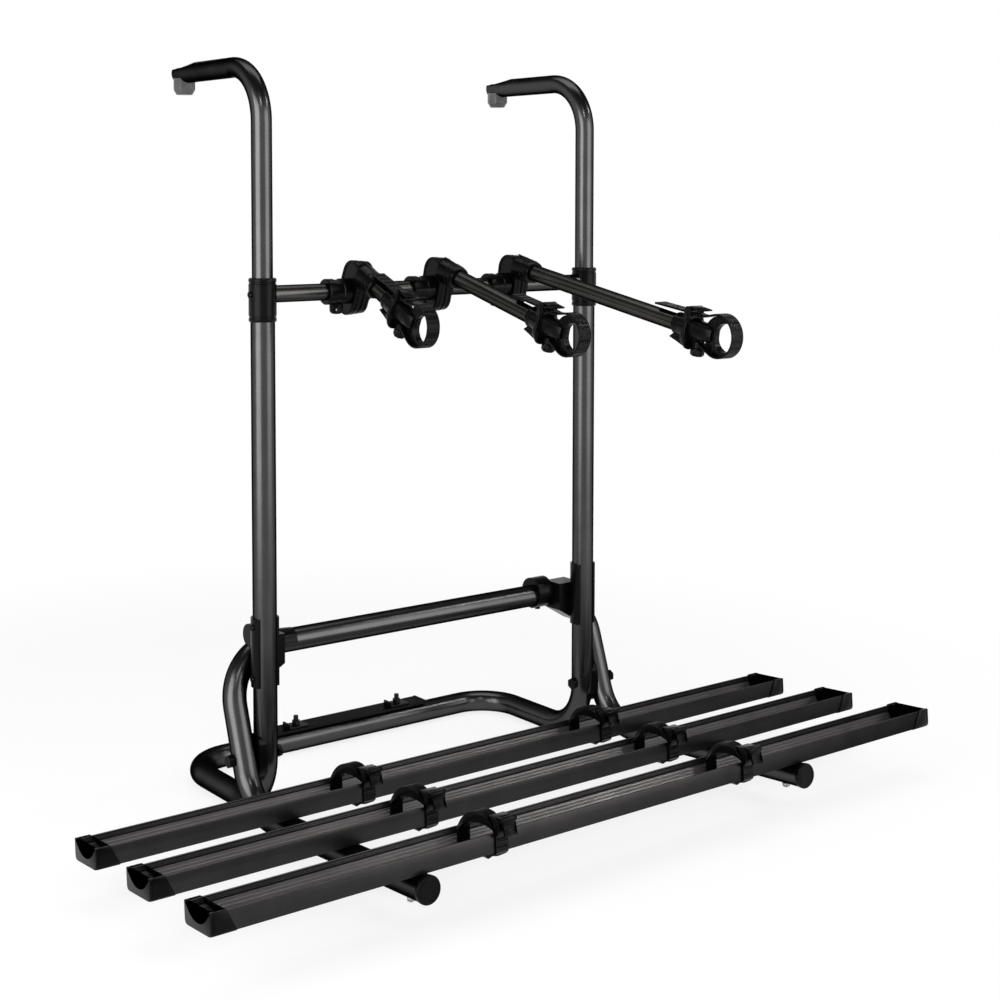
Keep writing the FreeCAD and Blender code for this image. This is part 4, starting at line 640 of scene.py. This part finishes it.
skins = []
half, halfStrap = buckle["width"] / 2, strap["width"] / 2
ear = rounded(box(barrelY - 3.5, barrelY + 4.6, barrelZ - 3.5, barrelZ + 3.5), [3, 0.5, 0.5, 3], 5)
pin = circle(buckle["pin"] / 2, 16, barrelY, barrelZ)
for name in rails:
    move = onRail(name)
    for side, x in (("left", strap["leftX"]), ("right", strap["rightX"])):
        path, pad = strapPath(x)
        loop = ribbon(path, strap["width"], strap["thick"], strap["tooth"], strap["pitch"], pad, move)
        foot = rounded(strap["foot"], 0.8, 3) + (x, 0)
        footSkin = slab(foot, *(strap["frontY"] + depth for depth in strap["footDepth"]), 0.6, "Y", move)
        makePiece(f"wheel_band_{name}_{side}", [loop, footSkin], "band_plastic", "platform",
                  f"wheel_strap_{name}_{side}")
        lever = slab(leverOutline(), x - halfStrap, x + halfStrap, 0.7, "X", move)
        makePiece(f"strap_lever_{name}_{side}", [lever], "black_plastic", f"buckle_lever_{name}_{side}",
                  f"buckle_lever_{name}_{side}")
        skins.append(slab(buckleOutline(), x - half, x + half, 1.0, "X", move))
        for low in (x - half, x + half - buckle["earThick"]):
            skins.append(slab(ear, low, low + buckle["earThick"], 0.5, "X", move))
        skins.append(slab(pin, x - half, x + half, 0.4, "X", move))
makePiece("strap_buckles_moulded", skins, "black_plastic", "platform", "strap_buckles")
print("straps threaded")

# bike holders; socket, neck, boss and grip are profiles of radius and distance, steps of x and radius,
# the core's stations of distance, width and height, and the other lists are corners

holders = {1: {"x": -145, "arm": 84, "lean": 25}, 2: {"x": 5, "arm": 230, "lean": 15.3},
           3: {"x": 152, "arm": 373, "lean": 10.5}}
collar = {"inner": 12.8, "outer": 15.8, "left": 53, "flange": 19, "rim": 3, "gap": 0.3, "lugThick": 7,
          "lug": (-43, -23, -33, -17), "eye": (-36, -30, -30, -24)}
knuckle = {"half": 14, "low": -14, "high": 25, "bore": 16.1, "taper": 0.09, "taperFrom": -8, "wide": 19,
           "steps": [(-13, 17.2), (-13, 18.2), (-14, 18.5), (-14, 19.6), (-12.9, 19.9), (-12.9, 21),
                     (-14, 21.3), (-14, 22.3), (-13.3, 23), (-9.4, 23), (-9.0, 22.2), (-7.8, 22.2),
                     (-7.4, 23), (-2.2, 23), (-1.5, 21.4)],
           "neck": [(6, -14), (18.7, -14), (18.3, -26), (17.9, -32), (18.6, -32.6), (18.6, -35.4),
                    (17.6, -36), (17.4, -40), (18.1, -40.6), (18.1, -43.4), (17.1, -44), (16.9, -50),
                    (15.9, -52), (12.7, -52), (12.7, -46), (6, -46)],
           "rib": [(-50, 14), (-12, 17), (-6, 20.5), (-30, 19.6), (-47, 17.4)], "ribHalf": 2.0}
armTube = {"start": -20, "tube": 25, "wall": 2, "throat": 6}
head = {"rise": 30, "socketLong": 26, "flangePlace": 28, "flangeThick": 5, "flangeDrop": 5.4, "step": 0.86,
        "socket": [(6, -6), (12.7, -6), (12.7, 0), (15, 0), (16, -1.2), (16, -6), (15.1, -7), (15.1, -11),
                   (16, -12), (17.2, -27), (6, -27)],
        "flange": [(-19, -12), (-12, -24.8), (12, -24.8), (19, -12), (19, 12), (12, 24.8), (-12, 24.8),
                   (-19, 12)],
        "boss": [(4.2, -18), (8, -16), (8, -24.2), (7.2, -25), (4.2, -25)],
        "spur": [(9, -20.8), (-28, -30), (-30, -4), (0, -12.8)], "spurHalf": 6.5,
        "coreWide": 26, "coreTall": 31,
        "core": [(31, 0.98, 1.0), (34, 0.98, 1.0), (38, 0.92, 0.92), (46, 0.88, 0.86), (58, 0.86, 0.84),
                 (68, 0.8, 0.8), (72, 0.66, 0.66)],
        "clawWide": 10, "clawEdge": 0.8, "clawRoot": 60, "clawEnd": 100, "hollow": 20, "hollowAt": 96,
        "ringAt": 84.5, "ringLift": 2, "ringInner": 28, "ringGap": 0.4}
band = {"thick": 3, "width": 21, "tooth": 0.7, "pitch": 2.6, "topTurn": 20, "lowTurn": 21, "dip": 50,
        "lowEnd": 53, "tail": 41, "tailRise": 18, "bends": [60, 40]}
clampLever = {"place": 27, "rise": 27.6, "length": 25, "thick": 2.5, "half": 10.5, "barrel": 7, "pin": 3.2,
              "pinLeft": -12.3, "earInner": 10.8, "earOuter": 13.8, "ridges": 6}
knob = {"place": 44, "drop": 25.3, "lobes": 8, "lobeDeep": 1.7,
        "grip": [(2, -11), (8, -11), (9.6, -9.4), (10, -7.6), (10, -2.4), (8.6, 0), (4, 0), (4, 9.5),
                 (2, 9.9)]}
rise = head["rise"]
ringZ = rise + head["ringLift"]


def onHolder(number, lean):
    # set down at the holder's place on the crossbar's axis, leaning about it by so many degrees
    return lambda points: leaning(points, lean, 0, upperBar["height"], holders[number]["x"])


def collarProfile():
    # a long sleeve with a waist, a gap for the knuckle and a narrow rim
    inner, outer, flange, left = collar["inner"], collar["outer"], collar["flange"], -collar["left"]
    start = knuckle["half"] + collar["gap"]
    end = start + collar["rim"]
    return [(inner, left), (flange - 1.2, left), (flange, left + 1.2), (flange, left + 12),
            (flange - 1.4, left + 13), (flange - 1.4, left + 24), (flange, left + 25),
            (flange, -start - 0.8), (flange - 0.8, -start), (outer, -start), (outer, start),
            (flange - 0.8, start), (flange, start + 0.8), (flange, end - 0.8), (flange - 0.8, end),
            (inner, end)]


def knuckleGrid():
    # stadium outlines whose x and radius step in and out for the grooves, and a circle at each end for
    # the bore; a wide outline's radius loses the taper times its x past a line
    x, radius = np.array(mirrored(knuckle["steps"])).T
    taper = knuckle["taper"] * np.maximum(x - knuckle["taperFrom"], 0)
    radius = radius - taper * (radius > knuckle["wide"])
    bore = circle(knuckle["bore"], 72)
    rings = [bore, *(stadium(r, knuckle["low"], knuckle["high"], 72) for r in radius), bore]
    return np.stack([np.insert(ring, 0, place, axis=1) for ring, place in zip(rings, [x[0], *x, x[-1]])])


def bandPath(end):
    # from under the core round the ring's front, over its top and back along the arm to the free tail
    ringY, radius = end - head["ringAt"], head["ringInner"]
    top, low = math.radians(band["topTurn"]), math.radians(band["lowTurn"])
    turn = np.linspace(-top, math.pi + low, 260)
    ring = np.stack([0 * turn, ringY - radius * np.sin(turn), ringZ + radius * np.cos(turn)], 1)
    dipY = end - band["dip"]
    dip = (0, dipY, ring[0, 2] - (dipY - ring[0, 1]) * math.tan(top))
    under = (0, end - clampLever["place"] + clampLever["barrel"],
             rise + clampLever["rise"] - clampLever["barrel"] / 2 - band["thick"] - 0.6)
    tail = (0, end + band["tail"], rise + band["tailRise"])
    places = bentPath(np.array([tail, under, dip, tuple(ring[0])]), band["bends"])[0]
    gaps = np.linalg.norm(np.diff(places, axis=0), axis=1)
    reach = np.concatenate([[0], np.cumsum(gaps)])
    dense = np.arange(0, gaps.sum(), 0.45)
    lead = np.stack([np.interp(dense, reach, places[:, k]) for k in range(3)], 1)
    lowEnd = end - band["lowEnd"]
    run = np.linspace(0, 1, 60)[1:, None]
    last = np.array([0, lowEnd, ring[-1, 2] + (lowEnd - ring[-1, 1]) * math.tan(low)])
    return np.concatenate([lead, ring, ring[-1] + run * (last - ring[-1])])[::-1]


def headBody(end, move):
    # socket, flange with a smaller step on it, and a core whose section is a circle with its cosine
    # and sine raised to 0.75, scaled at each station
    place = end - head["flangePlace"]
    flange = rounded(head["flange"], 10, 6)
    centre = (0, rise - head["flangeDrop"])
    distance, wide, tall = np.array(head["core"]).T[:, :, None]
    bulge = np.sign(circle(1, 48)) * np.abs(circle(1, 48)) ** 0.75
    core = np.stack([head["coreWide"] / 2 * wide * bulge[:, 0], end - distance + 0 * bulge[:, 0],
                     rise + head["coreTall"] / 2 * tall * bulge[:, 1]], -1)
    return [spun(head["socket"], "Y", (0, end, rise), 48, move=move),
            slab(flange + centre, place - head["flangeThick"], place, 1.2, "Y", move),
            slab(flange * head["step"] + centre, place - 1, place + 8, 3.5, "Y", move),
            skin(core, move=move)]


def clawSkins(end, move):
    # a root plate whose edges follow the ring, and two prongs between the ring's circle and the hollow's:
    # each is z = sqrt(r^2 - d^2) with d from that circle's centre
    ringAt, hollow, hollowAt = head["ringAt"], head["hollow"], head["hollowAt"]
    outer, half = head["ringInner"] - head["ringGap"], head["clawWide"] / 2
    thin, rootEnd = half - head["clawEdge"], hollowAt - hollow
    limits = [math.asin((place - ringAt) / outer) for place in (head["clawRoot"], rootEnd + 0.4)]
    away = np.linspace(*limits, 8)
    topArc = np.stack([end - ringAt - outer * np.sin(away), ringZ + outer * np.cos(away)], 1)
    root = np.concatenate([topArc, topArc[::-1] * (1, -1) + (0, 2 * ringZ)])
    skins = [slab(root, -half, half, 0.5, "X", move)]
    distance = np.linspace(rootEnd, head["clawEnd"], 26)[:, None]
    near = np.sqrt(np.clip(hollow ** 2 - (hollowAt - distance) ** 2, 0, None))
    far = np.sqrt(outer ** 2 - (distance - ringAt) ** 2)
    sides = np.array([-thin, thin, half, half, thin, -thin, -half, -half])
    share = np.array([0, 0, 0.12, 0.88, 1, 1, 0.88, 0.12])
    for sign in (-1, 1):
        z = ringZ + sign * (near + share * (far - near))
        skins.append(skin(np.stack([sides + 0 * z, end - distance + 0 * z, z], -1), move=move))
    return skins


def headFittings(end, earY, earZ, move):
    # two ears with the lever's pin, the knob's boss and the spur under the socket
    ear = rounded([(earY - 7, rise + 6), (earY + 7, rise + 6), (earY + 5, earZ), (earY + 3, earZ + 3.2),
                   (earY - 3, earZ + 3.2), (earY - 6, earZ - 2)], [0.5, 0.5, 2, 2.5, 2.5, 2], 4)
    inner, outer = clampLever["earInner"], clampLever["earOuter"]
    skins = [slab(ear, low, high, 0.6, "X", move) for low, high in ((-outer, -inner), (inner, outer))]
    pin = circle(clampLever["pin"] / 2, 16, earY, earZ)
    skins.append(slab(pin, clampLever["pinLeft"], outer, 0.3, "X", move))
    skins.append(spun(head["boss"], "Z", (0, end - knob["place"], rise), 32, move=move, loop=True))
    spur = rounded(head["spur"], [1, 2, 0.5, 2], 4) + (end, rise)
    return skins + [slab(spur, -head["spurHalf"], head["spurHalf"], 1.2, "X", move)]


def clampOutline(earY, earZ):
    # the ratchet lever's side: a ridged blade and the barrel on the pin
    radius = clampLever["barrel"] / 2
    top, tip = earZ + radius, earY - clampLever["length"]
    under = top - clampLever["thick"]
    ridges = []
    for y in tip + 1.5 + 2.0 * np.arange(clampLever["ridges"]):
        ridges += [(y, top), (y + 0.4, top - 0.55), (y + 1.1, top - 0.55), (y + 1.5, top)]
    blade = ridges + arc(radius, 90, -185, 13, earY, earZ)
    return rounded(blade + [(earY - radius - 0.4, under), (tip + 1, under), (tip, top - 1)], 0.25, 2)


for number, holder in holders.items():
    label = f"holder_{number}"
    move, upright = onHolder(number, holder["lean"]), onHolder(number, 0)
    end = -holder["arm"]
    earY, earZ = end - clampLever["place"], rise + clampLever["rise"]
    lug, eye = rounded(box(*collar["lug"]), [8, 8, 0.5, 0.5], 12), rounded(box(*collar["eye"]), 3, 12)
    halfLug = collar["lugThick"] / 2
    collarSkins = [spun(collarProfile(), "X", (0, 0, 0), 48, move=upright, loop=True),
                   ringPlate(lug, eye, -halfLug, halfLug, 0.5, "Y", upright)]
    rib = rounded(knuckle["rib"], 1.0, 3) + (0, rise)
    knuckleSkins = [skin(knuckleGrid(), True, move),
                    spun(knuckle["neck"], "Y", (0, 0, rise), 48, move=move),
                    slab(rib, -knuckle["ribHalf"], knuckle["ribHalf"], 0.8, "X", move)]
    armRoute = [(0, armTube["start"], rise), (0, end - head["socketLong"] + band["thick"], rise)]
    armSkin = tube(armRoute, [], armTube["tube"], armTube["wall"], deep=armTube["throat"], shape=move)
    headSkins = headBody(end, move) + clawSkins(end, move) + headFittings(end, earY, earZ, move)
    loop = ribbon(bandPath(end), band["width"], band["thick"], band["tooth"], band["pitch"], move=move)
    blade = slab(clampOutline(earY, earZ), -clampLever["half"], clampLever["half"], 0.6, "X", move)
    seat = (0, end - knob["place"], rise - knob["drop"])
    grip = spun(knob["grip"], "Z", seat, 64, knob["lobes"], knob["lobeDeep"], move)
    for part, manner, material, body, skins in (
            ("collar", "moulded", "black_plastic", "collar", collarSkins),
            ("knuckle", "moulded", "black_plastic", "arm", knuckleSkins),
            ("tube", "drawn", "bar_aluminium", "arm", [armSkin]),
            ("head", "moulded", "black_plastic", "arm", headSkins),
            ("band", "toothed", "band_plastic", "arm", [loop]),
            ("lever", "moulded", "black_plastic", "lever", [blade]),
            ("knob", "moulded", "black_plastic", "knob", [grip])):
        makePiece(f"{label}_{part}_{manner}", skins, material, f"{label}_{body}", f"{label}_{part}")
print("holders fitted")

# sleeves, feet, brackets, adapter and small fittings

sleeve = {"outer": 20, "under": 44.3, "over": 18, "guide": 15.3, "tube": 17.5, "groove": 0.8}


def sleeveProfile():
    # up the outside with a groove near each end, over the top, and down the guide to the upright
    outer, guide, bore = sleeve["outer"], sleeve["guide"], sleeve["tube"]
    low, high, groove = -sleeve["under"], sleeve["over"], outer - sleeve["groove"]
    return [(bore, low), (outer - 1, low), (outer, low + 1.5), (outer, low + 5), (groove, low + 5.8),
            (groove, low + 8), (outer, low + 8.8), (outer, high - 9), (groove, high - 8.2),
            (groove, high - 6), (outer, high - 5.2), (outer, high - 2), (outer - 0.6, high - 0.6),
            (outer - 2, high), (guide + 0.5, high), (guide, high - 0.5), (guide, 0), (bore, 0)]


for side, x in posts.items():
    sleeveSkin = spun(sleeveProfile(), "Z", (x, 0, wallFrame["top"]), 56, loop=True)
    makePiece(f"sleeve_moulded_{side}", [sleeveSkin], "black_plastic", "wall_frame", f"sleeve_{side}")
    softened(f"foot_moulded_{side}", f"hook_foot_{side}", "grey_rubber", f"hook_{side}", 1.2)
    softened(f"bracket_moulded_{side}", f"latch_bracket_{side}", "black_plastic", "wall_frame", 0.7)
softened("catches_moulded", "crossbar_catches", "black_plastic", "platform", 0.7)
softened("spacers_moulded", "pivot_spacers", "black_plastic", "wall_frame", 1.2)
softened("adapter_channel", "wall_adapter", "channel_aluminium", "wall_frame", 0.5)
softened("adapter_caps_moulded", "adapter_end_caps", "black_plastic", "wall_frame", 0.5)
softened("adapter_bolts_set", "adapter_bolts", "steel", "wall_frame", 0.4)
softened("frame_screws_set", "frame_screws", "steel", "wall_frame", 0.5)
softened("pivot_bolts_set", "pivot_bolts", "steel", "wall_frame", 0.5)


def onArm(points):
    # along the platform's arms, from the knee
    return leaning(points, -platform["tilt"], *knee)


capHalf, capEnd = platform["capWidth"] / 2, -platform["arm"]
capFace = capEnd - platform["capRim"]
disc = [(2, capFace), (12, capFace), (13, capFace + 0.7), (14.5, capFace + 0.7), (15.5, capFace),
        (capHalf - 1, capFace), (capHalf, capFace + 1.2), (capHalf, capEnd), (15.2, capEnd),
        (15.2, capEnd + 20), (2, capEnd + 20)]
skins = [spun(disc, "Y", (x, 0, 0), 48, move=onArm) for x in arms]
makePiece("end_caps_moulded", skins, "black_plastic", "platform", "platform_end_caps")
print("fittings in place")

# studio: camera, floor and lamps

view = {"lens": 60.64, "sensor_width": 36, "shift_x": 0.0465, "shift_y": -0.198, "clip_end": 60}
camera = bpy.data.objects.new("camera", bpy.data.cameras.new("camera"))
bpy.context.collection.objects.link(camera)
camera.location = (-1.51311, -2.34198, 0.884)
camera.rotation_euler = (math.radians(86.453), 0, math.radians(-36.783))
for name, value in view.items():
    setattr(camera.data, name, value)
bpy.context.scene.camera = camera

# the floor glows less near the object, so that its shadow shows
studio = {"floorReach": 9.0, "fade": (0.6, 1.5), "glow": (0.78, 1.0), "fill": 0.3, "dim": (0.15, 0.75),
          "ceiling": (1.0, 0.08)}
reach = studio["floorReach"]
floorMesh = bpy.data.meshes.new("floor")
floorCorners = [(x, y, groundHeight / 1000) for x, y in box(-reach, reach, -reach, reach)]
floorMesh.from_pydata(floorCorners, [], [(0, 1, 2, 3)])
floor = bpy.data.objects.new("floor", floorMesh)
bpy.context.collection.objects.link(floor)


def eyeRays(tree):
    # 1 for rays from the camera and for rays bent or mirrored by the object, else 0
    rays = addNode(tree, "ShaderNodeLightPath", {}).outputs
    seen = maximum(tree, rays["Is Camera Ray"], rays["Is Glossy Ray"])
    return maximum(tree, seen, rays["Is Transmission Ray"])


floorMaterial = bpy.data.materials.new("floor")
floorMaterial.use_nodes = True
tree = floorMaterial.node_tree
shader = feed(tree, tree.nodes["Principled BSDF"],
              {"Base Color": (0.93, 0.93, 0.93, 1), "Roughness": 0.9, "Specular IOR Level": 0.1})
place = addNode(tree, "ShaderNodeTexCoord", {}).outputs["Object"]
far = addNode(tree, "ShaderNodeVectorMath", {0: place}, operation="LENGTH").outputs["Value"]
fade = ranged(tree, far, studio["fade"], studio["glow"], "SMOOTHSTEP")
share = addNode(tree, "ShaderNodeMath", {0: fade, 1: eyeRays(tree)}, operation="MULTIPLY")
glow = addNode(tree, "ShaderNodeEmission", {"Color": (1, 1, 1, 1), "Strength": 1.0})
mixed(tree, share.outputs[0], shader.outputs[0], glow.outputs[0], "Material Output")
floorMesh.materials.append(floorMaterial)

world = bpy.data.worlds.new("studio")
bpy.context.scene.world = world
world.use_nodes = True
tree = world.node_tree
plain = feed(tree, tree.nodes["Background"], {"Color": (1, 1, 1, 1), "Strength": studio["fill"]})
# seen in the object, the white walls dim towards a dark ceiling; the camera sees them white
way = addNode(tree, "ShaderNodeTexCoord", {}).outputs["Generated"]
height = addNode(tree, "ShaderNodeSeparateXYZ", {"Vector": way}).outputs["Z"]
dim = ranged(tree, height, studio["dim"], studio["ceiling"], "SMOOTHSTEP")
rays = addNode(tree, "ShaderNodeLightPath", {}).outputs
level = maximum(tree, dim, rays["Is Camera Ray"])
white = addNode(tree, "ShaderNodeBackground", {"Color": (1, 1, 1, 1), "Strength": level})
mixed(tree, eyeRays(tree), plain.outputs[0], white.outputs[0], "World Output")

# two tall soft lamps, one each side, a wide weak one above and two small bright ones high in front;
# power is radiance times pi times area
lampTarget = Vector((0, -0.25, 0.6))
lamps = {
    "leftStrip": {"at": (-2.1, -0.75, 0.95), "size": (1.6, 1.9), "radiance": 5.0},
    "rightStrip": {"at": (1.0, -2.5, 0.95), "size": (1.9, 1.9), "radiance": 3.0},
    "overhead": {"at": (0.3, 0.3, 3.3), "size": (2.6, 1.6), "radiance": 2.5},
    "highLeft": {"at": (-1.3, -2.9, 2.9), "size": (0.3, 0.3), "radiance": 40.0},
    "highRight": {"at": (2.3, -1.9, 2.6), "size": (0.3, 0.3), "radiance": 40.0},
}
for name, lamp in lamps.items():
    light = bpy.data.lights.new(name, "AREA")
    light.shape = "RECTANGLE"
    light.size, light.size_y = lamp["size"]
    light.energy = lamp["radiance"] * math.pi * light.size * light.size_y
    lampHolder = bpy.data.objects.new(name, light)
    bpy.context.collection.objects.link(lampHolder)
    lampHolder.location = lamp["at"]
    lampHolder.rotation_euler = (lampTarget - Vector(lamp["at"])).to_track_quat("-Z", "Y").to_euler()
bpy.context.scene.view_settings.view_transform = "Standard"
print("studio lit")
